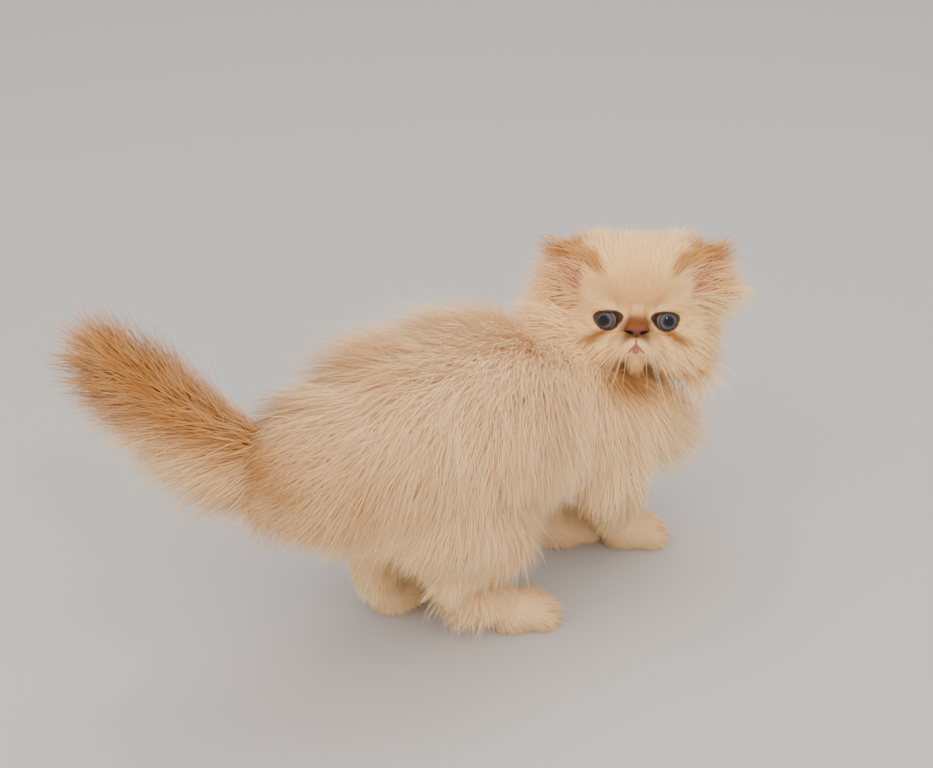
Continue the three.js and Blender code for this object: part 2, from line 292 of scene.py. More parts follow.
def limb(stations):
    """A round limb through the stations, with a ball at each end."""
    clear_choice()
    bpy.ops.curve.primitive_bezier_curve_add(location=(0, 0, 0))
    ob = bpy.context.object
    ob.data.bevel_depth = 1.0
    ob.data.bevel_resolution = 6
    ob.data.resolution_u = 8
    ob.data.use_fill_caps = True
    ob.data.dimensions = "3D"
    points = ob.data.splines[0].bezier_points
    points.add(len(stations) - len(points))
    for point, (x, y, z, radius) in zip(points, stations):
        point.co = Vector(place(x, y, z))
        point.radius = radius * MM
        point.handle_left_type = point.handle_right_type = "AUTO"
    bpy.ops.object.convert(target="MESH")
    ends = [lump(place(*s[:3]), (s[3],) * 3) for s in (stations[0], stations[-1])]
    return [ob, *ends]


def join(objects, name):
    choose(*objects)
    bpy.ops.object.join()
    ob = bpy.context.object
    ob.name = ob.data.name = name
    return ob


def apply_modifier(ob, kind, **settings):
    choose(ob)
    modifier = ob.modifiers.new("shape", kind)
    for key, value in settings.items():
        setattr(modifier, key, value)
    bpy.ops.object.modifier_apply(modifier=modifier.name)


def remesh(ob, size):
    choose(ob)
    ob.data.remesh_voxel_size = size
    ob.data.use_remesh_preserve_attributes = False
    bpy.ops.object.voxel_remesh()


def points_of(mesh):
    co = np.empty(len(mesh.vertices) * 3, np.float32)
    mesh.vertices.foreach_get("co", co)
    return co.reshape(-1, 3).astype(float)


def normals_of(mesh):
    no = np.empty(len(mesh.vertices) * 3, np.float32)
    mesh.vertex_normals.foreach_get("vector", no)
    return no.reshape(-1, 3).astype(float)


def set_points(mesh, points):
    mesh.vertices.foreach_set("co", np.ascontiguousarray(points, np.float32).ravel())
    mesh.update()


def finish_piece(ob, material, nodes=()):
    """Gives a piece its material and its body, and hides the nodes that it stands for."""
    ob.data.materials.clear()
    ob.data.materials.append(material)
    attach(ob, "root")
    if nodes:
        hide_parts(*nodes)


# The marks and the painted shade, shared by skin and coat

def bump_of(x, centre, width, power=2):
    """1 where x is at the centre, falling softly to 0 past the width."""
    return np.exp(-np.abs((x - centre) / width) ** power)


def ear_lines(across):
    """Heights of the upper and the lower edge of the ears' orange band."""
    return 39 - 0.021 * (39 - across) ** 2, 30.5 - 0.017 * (40 - across) ** 2


def ear_marks(points, across, up):
    """Orange along the top of each ear and on the back of it."""
    amount = np.zeros(len(points))
    upper, lower = ear_lines(across)
    for side in (-1, 1):
        out, wide, rise = ear_place(points, side)
        near = smooth(27, 22, np.sqrt(out**2 + wide**2 + (rise - 4) ** 2))
        band = smooth(upper + 1.5, upper - 1.5, up) * smooth(lower - 2, lower + 0.5, up)
        band = band * smooth(14, 19, across) * smooth(-4, -1, out)
        behind = smooth(-1, -5, out) * smooth(4, 10, rise) * smooth(-9, -4, wide)
        behind = behind * smooth(upper + 1, upper - 2, up)
        amount = np.maximum(amount, 0.8 * near * np.maximum(band, 0.6 * behind))
    return amount


def face_marks_and_crease_shade(across, up, on_face):
    """The bridge of the nose and the tear stains, and the orange of the whole face with painted shade in
    the forehead's creases above the eyes.
    """
    bridge = bump_of(across, 0, 6.8, 6) * bump_of(up + 0.07 * across**2, -1.8, 6.0, 8) * on_face
    stain = bump_of(across + 0.8 * (up + 6), 18.2, 5.0) * on_face
    stain = stain * bump_of(up, -6.2 - 0.25 * (across - 18), 2.3)
    inner = bump_of(across, 8.2, 1.6) * bump_of(up, -4.5, 3.2) * on_face
    brow = bump_of(across, 0, 4.5) * bump_of(up, 6, 4) * on_face
    # painted shade in the creases of the forehead above the eyes, drawn as orange
    crease_shade = bump_of(across, 9.3 + 0.12 * (up - 5), 0.8) * smooth(3, 5, up) * smooth(13, 9, up) * on_face
    return bridge, stain, np.maximum.reduce([stain, 0.5 * inner, 0.35 * brow, 0.3 * crease_shade])


def chin_shadow_and_cheek_tint(h):
    """Painted shadow in orange under the chin, and paler along the edge of the right cheek; and that
    painted shadow alone.
    """
    # painted shadow under the chin, drawn in orange
    chin = bump_of(h[:, 1], -3, 16) * bump_of(h[:, 2], -29, 10)
    chin = chin * smooth(-34, -16, h[:, 0]) * smooth(24, 8, h[:, 0])
    border = bump_of(h[:, 1], -35, 9) * bump_of(h[:, 2], -16, 15)
    border = border * smooth(-42, -18, h[:, 0]) * smooth(30, 10, h[:, 0])
    return chin, np.maximum(0.85 * chin, 0.28 * border)


def body_marks(points, b):
    """Orange on the tail above its pale fringe, on the rump and at the toes."""
    on_tail = smooth(-88, -116, b[:, 0]) * smooth(-21, 3, b[:, 2] - 120 + 0.75 * (b[:, 0] + 109))
    streaks = 0.92 + 0.16 * waves(points, 0.016, 21)[:, 0] + 0.06 * waves(points, 0.006, 22)[:, 1]
    tail = 0.9 * on_tail * np.clip(streaks, 0.6, 1.05)
    rump = 0.42 * bump_of(b[:, 0], -102, 40) * bump_of(b[:, 2], 116, 34)
    toes = 0.26 * smooth(15, 3, b[:, 2])
    return np.maximum.reduce([tail, rump, toes])


def ear_hollows(points, h, across, up):
    """Where the pink inside of the ears shows between the hairs."""
    lower = ear_lines(across)[1]
    hollow = smooth(15, 19, across) * smooth(48, 40, across) * smooth(12, 17, up)
    hollow = hollow * smooth(lower + 2, lower - 1, up)
    hollow = hollow * smooth(-36, -28, h[:, 0]) * smooth(-4, -10, h[:, 0])
    return hollow * np.clip(0.7 + 0.6 * waves(points, 0.005, 31)[:, 0], 0, 1)


def toe_gap_shade(b, leg):
    """The painted shade along the gaps between the toes of one paw."""
    turn = math.radians(leg["turn"])
    x, y = b[:, 0] - leg["foot"][0], b[:, 1] - leg["foot"][1]
    ahead = x * math.cos(turn) + y * math.sin(turn)
    aside = y * math.cos(turn) - x * math.sin(turn)
    between = sum(bump_of(aside, k * PAW[1] * TOE_STEP, 1.1) for k in (-1, 0, 1))
    on_toes = smooth(3, 8, ahead) * smooth(19, 17, ahead) * smooth(13, 8, b[:, 2]) * (np.abs(aside) < 13)
    return between * on_toes


def marks_and_shade(points, settings):
    """The colour of the coat at each point, from soft spots of orange on cream, with painted shade under
    the chin, in the forehead's creases and between the toes.
    """
    cream, orange, mask = (np.array(c) for c in (settings.cream, settings.orange, settings.mask))
    h = head_place(points)
    b = (points - SHIFT) / MM
    across, up = np.abs(h[:, 1]), h[:, 2]
    on_face = smooth(-22, -8, h[:, 0]) * (np.linalg.norm(h - (-20, 0, 0), axis=1) < 60)
    bridge, stain, face = face_marks_and_crease_shade(across, up, on_face)
    chin, throat_shade_and_tint = chin_shadow_and_cheek_tint(h)
    # orange for the real marks, and for the painted shadow under the chin and the painted shade in the
    # forehead's creases
    amount = np.maximum.reduce([ear_marks(points, across, up), face, throat_shade_and_tint, body_marks(points, b)])
    colour = mixed(cream, orange, np.clip(amount, 0, 1))
    colour = mixed(colour, EAR_PINK, 0.8 * ear_hollows(points, h, across, up))
    for leg in LEGS.values():
        # painted shade in the gaps between the toes, drawn as orange
        colour = mixed(colour, orange, 0.55 * toe_gap_shade(b, leg))
    # the painted shadow under the chin is also darkened towards the mask's brown
    colour = mixed(colour, mask, np.clip(0.96 * bridge + 0.5 * stain + 0.3 * chin, 0, 1))
    head = smooth(62, 46, np.linalg.norm(h + (22, 0, 0), axis=1))
    return np.clip(colour * (1 + head[:, None] * HEAD_TINT), 0, 1)


# The skin


def paw_lumps(foot, turn):
    """The sole, the wrist and the four toes of a paw."""
    c, s = math.cos(math.radians(turn)), math.sin(math.radians(turn))
    axes = np.array([(c, s, 0), (-s, c, 0), (0, 0, 1)])

    def at(x, y, z):
        return place(foot[0] + c * x - s * y, foot[1] + s * x + c * y, z)

    length, width, height = PAW
    thin = PAW_FUR
    lumps = [
        lump(at(-1, 0, height * 0.38), (length / 2 - thin, width / 2 - thin, height * 0.62 - thin), axes),
        lump(at(-9, 0, height * 0.66), (10.5 - thin, 11 - thin, 10 - thin), axes),
    ]
    toe = (8.4 - thin, 4.0 - thin * 0.35, 6.8 - thin * 0.6)
    for y, x in ((-1.5, 7.5), (-0.5, 10.5), (0.5, 10.5), (1.5, 7.5)):
        lumps.append(lump(at(x, y * width * TOE_STEP, 6.2), toe, axes, 16))
    return lumps


def ear_shell(side):
    """An ear that narrows to its tip, hollowed from the front."""
    axes = ear_axes(side)
    base = ear_base(side)
    shell = lump(base, EAR["size"], axes, 32)
    hollow = lump(base + (axes[0] * 6.2 + axes[2] * 3.5) * MM, EAR["hollow"], axes, 32)
    for ob in (shell, hollow):
        local = (points_of(ob.data) - base) @ axes.T / MM
        local[:, 1] *= 1 - 0.38 * smooth(0, 22, local[:, 2])
        set_points(ob.data, base + (local * MM) @ axes)
    apply_modifier(shell, "BOOLEAN", operation="DIFFERENCE", object=hollow, solver="EXACT")
    choose(hollow)
    bpy.ops.object.delete()
    return shell


def opening(points, side):
    """Millimetres from the edge of the lids, below 0 where the eye shows."""
    local = (points - EYES[side]) @ EYE_AXES.T / MM
    gap = np.full(len(points), 50.0)
    near = np.nonzero((local[:, 0] > 0) & (np.linalg.norm(local, axis=1) < 24))[0]
    p = np.stack([local[near, 1] * side, local[near, 2]], axis=1)
    a, b = LID_EDGE, np.roll(LID_EDGE, -1, 0)
    along = b - a
    offset = p[:, None] - a[None]
    t = np.clip(np.einsum("nkd,kd->nk", offset, along) / np.sum(along**2, axis=1), 0, 1)
    far = np.linalg.norm(offset - t[..., None] * along, axis=2).min(axis=1)
    crossing = (a[:, 1] > p[:, 1:]) != (b[:, 1] > p[:, 1:])
    reach = a[:, 0] + (p[:, 1:] - a[:, 1]) * along[:, 0] / np.where(along[:, 1] == 0, 1e-9, along[:, 1])
    inside = np.sum(crossing & (p[:, :1] < reach), axis=1) % 2 == 1
    gap[near] = np.where(inside, -far, far)
    return gap


def shape_lids(points):
    """Draws the skin over the eyeballs as lids, with an opening for each eye."""
    for side in (-1, 1):
        offset = (points - EYES[side]) / MM
        radius = np.linalg.norm(offset, axis=1)
        ahead = (offset @ LOOK) / np.maximum(radius, 1e-6)
        gap = opening(points, side)
        lid = EYE_RADIUS + 0.9 - 3.2 * smooth(0.25, -0.9, gap)
        pull = smooth(0.05, 0.35, ahead) * smooth(6.5, 0.9, gap)
        wanted = radius + (lid - radius) * pull
        points = EYES[side] + offset * (wanted / np.maximum(radius, 1e-6))[:, None] * MM
    return points


def refine(ob, chosen):
    """Cuts the faces at the chosen corners into finer ones."""
    choose(ob)
    bpy.ops.object.mode_set(mode="EDIT")
    bpy.ops.mesh.select_mode(type="VERT")
    bpy.ops.mesh.select_all(action="DESELECT")
    bpy.ops.object.mode_set(mode="OBJECT")
    ob.data.vertices.foreach_set("select", chosen)
    bpy.ops.object.mode_set(mode="EDIT")
    bpy.ops.mesh.select_mode(type="FACE")
    bpy.ops.mesh.subdivide(number_cuts=1, smoothness=0)
    bpy.ops.object.mode_set(mode="OBJECT")


class KITTEN_OT_skin(bpy.types.Operator):
    """Make the one skin of the whole kitten, with its lids, ears and toes"""

    bl_idname = "kitten.skin"
    bl_label = "Skin"

    def execute(self, context):
        settings = context.scene.kitten
        made = limb(TRUNK) + limb(NECK) + limb(TAIL)
        for leg in LEGS.values():
            made += limb(leg["path"]) + paw_lumps(leg["foot"], leg["turn"])
        for (f, l, u), size in SKULL:
            for side in (1, -1) if l else (1,):
                made.append(lump(on_head(f, side * l, u), size, HEAD_AXES, 28))
        made += [ear_shell(side) for side in (-1, 1)]
        skin = join(made, "skin")
        remesh(skin, settings.skin_detail)
        points = points_of(skin.data)
        h = head_place(points)
        face = smooth(-14, -2, h[:, 0]) * smooth(34, 26, np.abs(h[:, 1])) * smooth(36, 24, np.abs(h[:, 2]))
        paws = smooth(0.03, 0.02, points[:, 2])
        keep = np.maximum(face, 0.75 * paws)
        group = skin.vertex_groups.new(name="soft")
        for level in range(5):
            chosen = np.nonzero(np.clip((keep * 5).astype(int), 0, 4) == level)[0]
            group.add(chosen.tolist(), 1 - 0.2 * level, "REPLACE")
        apply_modifier(skin, "SMOOTH", factor=0.5, iterations=14, vertex_group="soft")
        apply_modifier(skin, "SMOOTH", factor=0.5, iterations=2)
        h = head_place(points_of(skin.data))
        refine(skin, (h[:, 0] > -13) & (np.abs(h[:, 1]) < 27) & (np.abs(h[:, 2] + 3) < 19))
        points = points_of(skin.data)
        refine(skin, np.minimum(opening(points, 1), opening(points, -1)) < 3)
        apply_modifier(skin, "SMOOTH", factor=0.5, iterations=3)
        points = shape_lids(points_of(skin.data))
        points[:, 2] = np.maximum(points[:, 2], 0.0)
        set_points(skin.data, points)
        skin.vertex_groups.clear()
        choose(skin)
        bpy.ops.object.shade_smooth()
        unwrap(skin)
        points = points_of(skin.data)
        paint(skin.data, skin_tints(points, marks_and_shade(points, settings) * SKIN_UNDER))
        nodes = ["trunk", "neck", "head", "muzzle", "ear_left", "ear_right"]
        nodes += ["tail_base", "tail_middle", "tail_tip"]
        nodes += [part + name for name in LEGS for part in ("leg_", "paw_")]
        finish_piece(skin, skin_material(), nodes)
        return {"FINISHED"}


def skin_tints(points, colours):
    """Pink inside the ears and on the soles, dark at the rims of the eyes."""
    for side in (-1, 1):
        out, wide, rise = ear_place(points, side)
        inside = np.exp(-((wide / 11) ** 2) - ((rise - 5) / 14) ** 2) * smooth(-3, 0, out)
        inside *= np.sqrt(out**2 + wide**2 + rise**2) < 24
        colours = mixed(colours, SKIN_PINK, np.clip(inside * 1.2, 0, 1))
        colours = mixed(colours, RIM_DARK, smooth(1.6, 0.5, opening(points, side)))
    return mixed(colours, SKIN_PINK, 0.8 * smooth(0.0016, 0.0006, points[:, 2]))


def unwrap(ob):
    """Unwraps the skin's own shape for the coat to take its places from."""
    choose(ob)
    while ob.data.uv_layers:
        ob.data.uv_layers.remove(ob.data.uv_layers[0])
    ob.data.uv_layers.new(name="OFBake")
    bpy.ops.object.mode_set(mode="EDIT")
    bpy.ops.mesh.select_all(action="SELECT")
    bpy.ops.uv.smart_project(angle_limit=math.radians(75), island_margin=0.004)
    bpy.ops.object.mode_set(mode="OBJECT")


def paint(mesh, colours):
    layer = mesh.color_attributes.new(name="ColourAndShade", type="FLOAT_COLOR", domain="POINT")
    full = np.ones((len(mesh.vertices), 4), np.float32)
    full[:, :3] = colours
    layer.data.foreach_set("color", full.ravel())


# The materials

def material_of(name):
    material = bpy.data.materials.new(name)
    material.use_nodes = True
    nodes, links = material.node_tree.nodes, material.node_tree.links
    return material, nodes, links, nodes["Principled BSDF"]


def pattern(nodes, links, kind, scale):
    """A pattern node that reads the piece's own place."""
    coords = nodes.new("ShaderNodeTexCoord")
    node = nodes.new(kind)
    node.inputs["Scale"].default_value = scale
    links.new(coords.outputs["Object"], node.inputs["Vector"])
    return node


def raise_bumps(nodes, links, shader, height, strength, distance):
    bump = nodes.new("ShaderNodeBump")
    bump.inputs["Strength"].default_value = strength
    bump.inputs["Distance"].default_value = distance
    links.new(height, bump.inputs["Height"])
    links.new(bump.outputs["Normal"], shader.inputs["Normal"])


def noise_bump(nodes, links, shader, scale, strength, distance):
    noise = pattern(nodes, links, "ShaderNodeTexNoise", scale)
    noise.inputs["Detail"].default_value = 3
    raise_bumps(nodes, links, shader, noise.outputs["Fac"], strength, distance)


def marks_and_shade_colour(nodes, links, shader, spread, scale):
    """Colour from the colour attribute of marks and painted shade, lightened and darkened a little by fine
    noise.
    """
    marks = nodes.new("ShaderNodeAttribute")
    marks.attribute_name = "ColourAndShade"
    noise = pattern(nodes, links, "ShaderNodeTexNoise", scale)
    ramp = nodes.new("ShaderNodeMapRange")
    ramp.inputs["To Min"].default_value = 1 - spread
    ramp.inputs["To Max"].default_value = 1 + spread
    tint = nodes.new("ShaderNodeVectorMath")
    tint.operation = "SCALE"
    links.new(noise.outputs["Fac"], ramp.inputs["Value"])
    links.new(marks.outputs["Color"], tint.inputs["Vector"])
    links.new(ramp.outputs["Result"], tint.inputs["Scale"])
    links.new(tint.outputs["Vector"], shader.inputs["Base Color"])


def skin_material():
    material, nodes, links, shader = material_of("skin_under_coat")
    marks_and_shade_colour(nodes, links, shader, 0.06, 900)
    shader.inputs["Roughness"].default_value = 0.7
    noise_bump(nodes, links, shader, 1800, 0.4, 0.0004)
    return material


def coat_material():
    material, nodes, links, shader = material_of("soft_coat")
    marks_and_shade_colour(nodes, links, shader, 0.03, 400)
    shader.inputs["Roughness"].default_value = 0.62
    shader.inputs["Specular IOR Level"].default_value = 0.25
    shader.inputs["Sheen Weight"].default_value = 0.15
    shader.inputs["Sheen Roughness"].default_value = 0.5
    return material


# The coat

# Each row: place, reach, lie, length in millimetres, lift in degrees. Side and cheek rows are mirrored.
BODY_COAT = (
    ((-72, 0, 142), 24, (-1, 0, -0.1), 36, 27),
    ((-25, 14, 145), 20, (-1, 0.1, 0.0), 43, 42),
    ((-30, -12, 145), 18, (-1, -0.12, -0.1), 36, 26),
    ((18, 14, 142), 17, (-0.95, 0.1, 0.0), 44, 40),
    ((2, -14, 144), 16, (-0.95, -0.15, -0.2), 34, 23),
    ((28, -14, 138), 14, (-0.9, -0.2, -0.3), 32, 21),
    ((50, 20, 134), 15, (-0.9, 0.2, -0.1), 38, 29),
    ((50, -8, 131), 12, (-0.8, -0.25, -0.4), 28, 21),
    ((68, -14, 120), 13, (-0.7, -0.2, -0.5), 24, 22),
    ((-98, 0, 116), 16, (-1, 0.1, -0.1), 32, 34),
    ((-84, 0, 84), 18, (-0.9, 0, -0.5), 22, 26),
    ((-10, 4, 56), 22, (-0.7, 0, -0.4), 24, 36),
    ((45, 2, 60), 20, (-0.4, 0, -0.8), 20, 34),
    ((112, -16, 92), 16, (0.85, -0.15, -0.5), 42, 48),
    ((108, -26, 80), 12, (0.95, -0.15, -0.45), 42, 46),
    ((100, -6, 68), 12, (0.2, 0, -1), 20, 34),
)
SIDE_COAT = (
    ((-66, 38, 108), 22, (-0.9, 0.2, -0.4), 34, 32),
    ((-68, 30, 82), 16, (-0.8, 0.1, -0.7), 22, 28),
    ((-14, 46, 108), 24, (-0.75, 0.1, -0.6), 34, 28),
    ((-22, 32, 132), 18, (-0.9, 0.15, -0.35), 34, 24),
    ((28, 30, 130), 18, (-0.8, 0.2, -0.5), 32, 22),
    ((30, 46, 102), 24, (-0.5, 0.1, -0.85), 32, 28),
    ((72, 32, 94), 20, (-0.1, 0.1, -1), 28, 34),
    ((-40, 38, 72), 16, (-0.7, 0.1, -0.8), 22, 28),
    ((-8, 40, 74), 18, (-0.5, 0.1, -0.9), 22, 30),
    ((84, 34, 108), 18, (-0.4, 0.2, -0.8), 28, 32),
    ((58, 32, 118), 16, (-0.7, 0.2, -0.6), 28, 22),
)
# Head rows are forward, left and up of the face
FACE_COAT = (
    ((4, 0, 16), 8, (-0.15, 0, 1), 9.5, 27),
    ((-4, 0, 28), 9, (-0.5, 0, 0.9), 10, 42),
    ((-22, 0, 36), 12, (-0.8, 0, 0.6), 12, 46),
    ((-55, 0, 18), 16, (-0.9, 0, -0.5), 26, 40),
    ((-50, 0, -12), 16, (-0.5, 0, -1), 30, 40),
    ((6, 0, 3), 4, (-0.1, 0, 1), 2.2, 14),
    ((3, 0, -22), 4, (0.15, 0, -1), 6, 30),
    ((-12, 0, -27), 9, (-0.1, 0, -1), 18, 30),
)
CHEEK_COAT = (
    ((1, 13, 11), 5, (-0.15, 0.35, 1), 7, 28),
    ((-2, 24, 12), 7, (-0.5, 0.9, 0.5), 9, 26),
    ((-6, 27, 0), 6, (-0.5, 1, -0.1), 10, 28),
    ((5, 9, -6), 3, (0.0, 0.7, -0.8), 3.2, 20),
    ((7, 5, -12), 4, (0.0, 0.6, -0.9), 5, 24),
    ((4, 10, -14), 4, (-0.1, 0.45, -1), 12, 26),
    ((2, 17, -11), 5, (-0.2, 0.7, -1), 15, 26),
    ((-7, 26, -14), 8, (-0.3, 1, -0.9), 20, 30),
    ((-18, 34, -4), 9, (-0.4, 1, -0.4), 30, 38),
    ((-22, 31, -20), 10, (-0.2, 0.8, -1), 38, 34),
    ((-10, 15, -22), 7, (-0.1, 0.35, -1), 20, 28),
    ((-40, 28, 6), 12, (-1, 0.6, -0.2), 26, 40),
    ((-20, 18, 34), 8, (-0.6, 0.3, 0.9), 13, 46),
    ((-26, 30, 28), 8, (-0.3, 0.6, 0.9), 16, 50),
    ((-22, 36, 6), 9, (-0.5, 1, -0.1), 26, 38),
)


# The cleft and one half of the mouth: to the side and up, in millimetres
MOUTH_LINES = (((0, -5.5), (0, -11)), ((0, -11), (4.2, -15)))

# How tufts gather into locks: tufts to a lock, its reach in metres and the pull to its middle
FINE = {"size": 9, "reach": 0.002, "pull": 0.15}
LOOSE = {"size": 18, "reach": 0.005, "pull": 0.28}
FLOWING = {"size": 22, "reach": 0.006, "pull": 0.7}
POINTED = {"size": 16, "reach": 0.009, "pull": 1.0}
LEAST_LOCKS = 0.06  # the share of that pull where the coat is smooth
WISP_STRETCH = 1.28
# Width of a tuft at each ring from root to tip, by its number of rings
PROFILES = {2: (1.0, 0), 3: (0.85, 0.85, 0), 4: (0.8, 0.9, 0.6, 0)}
BODY_TOUSLE, HEAD_TOUSLE = 0.22, 0.16  # how far tufts stray from the lie of the coat
DROOP, LONG = 0.22, 0.04  # how far the tip of a long tuft hangs, and how many metres are long
ROOT_TONE, TIP_TONE = 1.02, 0.99  # brightness of a tuft at its root and its tip
LEAST_FACING = 0.1  # least agreement of a soft normal with its face
PATCH = 0.003  # size of a tuft's patch on the map
PIECE_TRIANGLES = 195000  # most triangles of one piece of the coat


def coat_rows(settings):
    """All rows of the coat as arrays: place, reach, lie, length and lift."""
    scale = settings.coat_length / 0.040
    turn = settings.coat_lift - math.radians(30)
    rows = []

    def add(at, reach, lie, length, lift):
        rows.append((at, reach * MM, unit(lie), length * MM * scale, math.radians(lift) + turn))

    for at, reach, lie, length, lift in BODY_COAT:
        add(place(*at), reach, lie, length, lift)
    for (x, y, z), reach, (a, b, c), length, lift in SIDE_COAT:
        for side in (-1, 1):
            add(place(x, side * y, z), reach, (a, side * b, c), length, lift)
    for leg in LEGS.values():
        path, turn_to = leg["path"], math.radians(leg["turn"])
        heading = (math.cos(turn_to), math.sin(turn_to), -0.25)
        add(place(*path[1][:3]), 14, (-0.4, 0, -1), 15, 26)
        add(place(*path[2][:3]), 9, (-0.3, 0, -1), 8.5, 24)
        add(place(*path[3][:3]), 8, (0.1, 0, -1), 6, 20)
        add(place(*leg["foot"], 8), 9, heading, 5.5, 28)
    tail = np.array([station[:3] for station in TAIL], float)
    for i in range(1, len(tail)):
        lie = unit(tail[i] - tail[i - 1])
        share = i / (len(tail) - 1)
        add(place(*tail[i]), 13, lie + (0, 0, -0.2 * (1 - share)), 42 - 8 * share, 31 - 6 * share)
        add(place(*(tail[i] - (0, 0, 11))), 8, lie - (0, 0, 0.5), 50 - 8 * share, 38 - 6 * share)
    head = []
    for at, reach, lie, length, lift in FACE_COAT:
        lie = unit(lie) @ HEAD_AXES
        head.append((on_head(*at), reach * MM, lie, length * MM, math.radians(lift)))
    for (f, l, u), reach, (a, b, c), length, lift in CHEEK_COAT:
        for side in (-1, 1):
            lie = unit((a, side * b, c)) @ HEAD_AXES
            head.append((on_head(f, side * l, u), reach * MM, lie, length * MM, math.radians(lift)))
    return rows, head


def blend_rows(points, rows):
    """Lie, length and lift at each point, blended from the rows near it."""
    at = np.array([r[0] for r in rows])
    reach = np.array([r[1] for r in rows])
    far = np.linalg.norm(points[:, None] - at[None], axis=2) / reach
    weight = 1 / (far**4 + 0.02)
    weight /= weight.sum(axis=1, keepdims=True)
    lie = weight @ np.array([r[2] for r in rows])
    return lie, weight @ np.array([r[3] for r in rows]), weight @ np.array([r[4] for r in rows])


def coat_at(points, normals, settings):
    """How the coat grows at each point of the skin: lie, length, lift, and the share that is head."""
    body_rows, head_rows = coat_rows(settings)
    lie, length, lift = blend_rows(points, body_rows)
    head_lie, head_length, head_lift = blend_rows(points, head_rows)
    centre = on_head(-25, 0, 4)
    head = smooth(0.048, 0.040, np.linalg.norm(points - centre, axis=1))
    lie = lie + (head_lie - lie) * head[:, None]
    length = length + (head_length - length) * head
    lift = lift + (head_lift - lift) * head
    for side in (-1, 1):
        axes = ear_axes(side)
        out, wide, rise = ear_place(points, side)
        ear = smooth(25, 20, np.sqrt((out * 2.2) ** 2 + (wide * 1.25) ** 2 + rise**2)) * smooth(-4, 3, rise)
        inside = ear * smooth(-1.0, 1.5, out) * smooth(0.2, 0.6, normals @ axes[0])
        edge = ear * smooth(5, 11, wide) * (1 - inside)
        outwards = side * LEFT
        for share, way, size, lean in (
            (ear, axes[2] + 0.1 * outwards, 6.5, 16),
            (edge, outwards - 0.3 * TOP - 0.3 * FORWARD, 29, 26),
            (inside, outwards + 0.5 * TOP, 21, 22),
        ):
            lie = lie + (way - lie) * share[:, None]
            length = length + (size * MM - length) * share
            lift = lift + (math.radians(lean) - lift) * share
        head = np.maximum(head, ear)
    for side in (-1, 1):
        gap = opening(points, side)
        local = (points - EYES[side]) @ EYE_AXES.T
        away = unit(local[:, 1:] - (side * -0.001, 0)) @ EYE_AXES[1:]
        near = smooth(6, 1, gap)
        lie = unit(lie) * (1 - near[:, None]) + away * near[:, None]
        length = np.minimum(length, (1.4 + 1.5 * np.maximum(gap, 0)) * MM)
    h = head_place(points)
    for start, end in MOUTH_LINES:
        start, end = np.array(start), np.array(end)
        p = np.stack([np.abs(h[:, 1]), h[:, 2]], axis=1) - start
        t = np.clip(p @ (end - start) / np.sum((end - start) ** 2), 0, 1)
        gap = np.linalg.norm(p - t[:, None] * (end - start), axis=1)
        most = (0.8 + 1.3 * np.maximum(gap - 0.5, 0)) * MM
        length = np.where(h[:, 0] > -8, np.minimum(length, most), length)
    leather = np.linalg.norm((h - (6, 0, -3)) / (1, 1, 1.3), axis=1)
    most = (1.0 + 0.75 * np.maximum(leather - 5, 0)) * MM
    length = np.where(leather < 14, np.minimum(length, most), length)
    return lie, length, lift, head


def waves(points, size, seed):
    """Three smooth random values at each point, changing over the size given."""
    rng = np.random.default_rng(seed)
    total = np.zeros((len(points), 3))
    for _ in range(5):
        direction = unit(rng.normal(size=(3, 3)))
        phase = rng.uniform(0, 2 * math.pi, 3)
        total += np.sin(points @ direction.T * (2 * math.pi / size) * rng.uniform(0.6, 1.4) + phase)
    return total / 3


def scatter(skin, density, count, rng):
    """Roots spread over the skin by density: places, normals, places on the unwrap."""
    mesh = skin.data
    mesh.calc_loop_triangles()
    n = len(mesh.loop_triangles)
    corners = np.empty(n * 3, np.int32)
    mesh.loop_triangles.foreach_get("vertices", corners)
    corners = corners.reshape(-1, 3)
    loops = np.empty(n * 3, np.int32)
    mesh.loop_triangles.foreach_get("loops", loops)
    loops = loops.reshape(-1, 3)
    uv = np.empty(len(mesh.loops) * 2, np.float32)
    mesh.uv_layers["OFBake"].data.foreach_get("uv", uv)
    uv = uv.reshape(-1, 2)
    points, normals = points_of(mesh), normals_of(mesh)
    tri = points[corners]
    area = np.linalg.norm(np.cross(tri[:, 1] - tri[:, 0], tri[:, 2] - tri[:, 0]), axis=1) / 2
    share = np.cumsum(area * density[corners].mean(axis=1))
    ticks = (np.arange(count) + rng.uniform(0, 1, count)) / count * share[-1]
    chosen = np.clip(np.searchsorted(share, ticks), 0, n - 1)
    a, b = rng.uniform(0, 1, count), rng.uniform(0, 1, count)
    flip = a + b > 1
    a[flip], b[flip] = 1 - a[flip], 1 - b[flip]
    weights = np.stack([1 - a - b, a, b], axis=1)
    roots = np.einsum("nk,nkd->nd", weights, points[corners[chosen]])
    up = unit(np.einsum("nk,nkd->nd", weights, normals[corners[chosen]]))
    where = np.einsum("nk,nkd->nd", weights, uv[loops[chosen]])
    return roots, up, where


def in_head(points):
    """Below 1 inside the head and the air before the face, where no tuft of the body goes."""
    h = head_place(points) - (-20, 0, -2)
    before = np.linalg.norm(h / (78, 46, 31), axis=-1) + (h[..., 0] < 0)
    return np.minimum(np.linalg.norm(h / (45, 49, 40), axis=-1), before)


def locks(points):
    """How much the coat gathers into locks: most on the chest, the belly and the legs."""
    b = (points - SHIFT) / MM
    return LEAST_LOCKS + (1 - LEAST_LOCKS) * np.maximum(smooth(88, 108, b[:, 0]), smooth(86, 64, b[:, 2]))


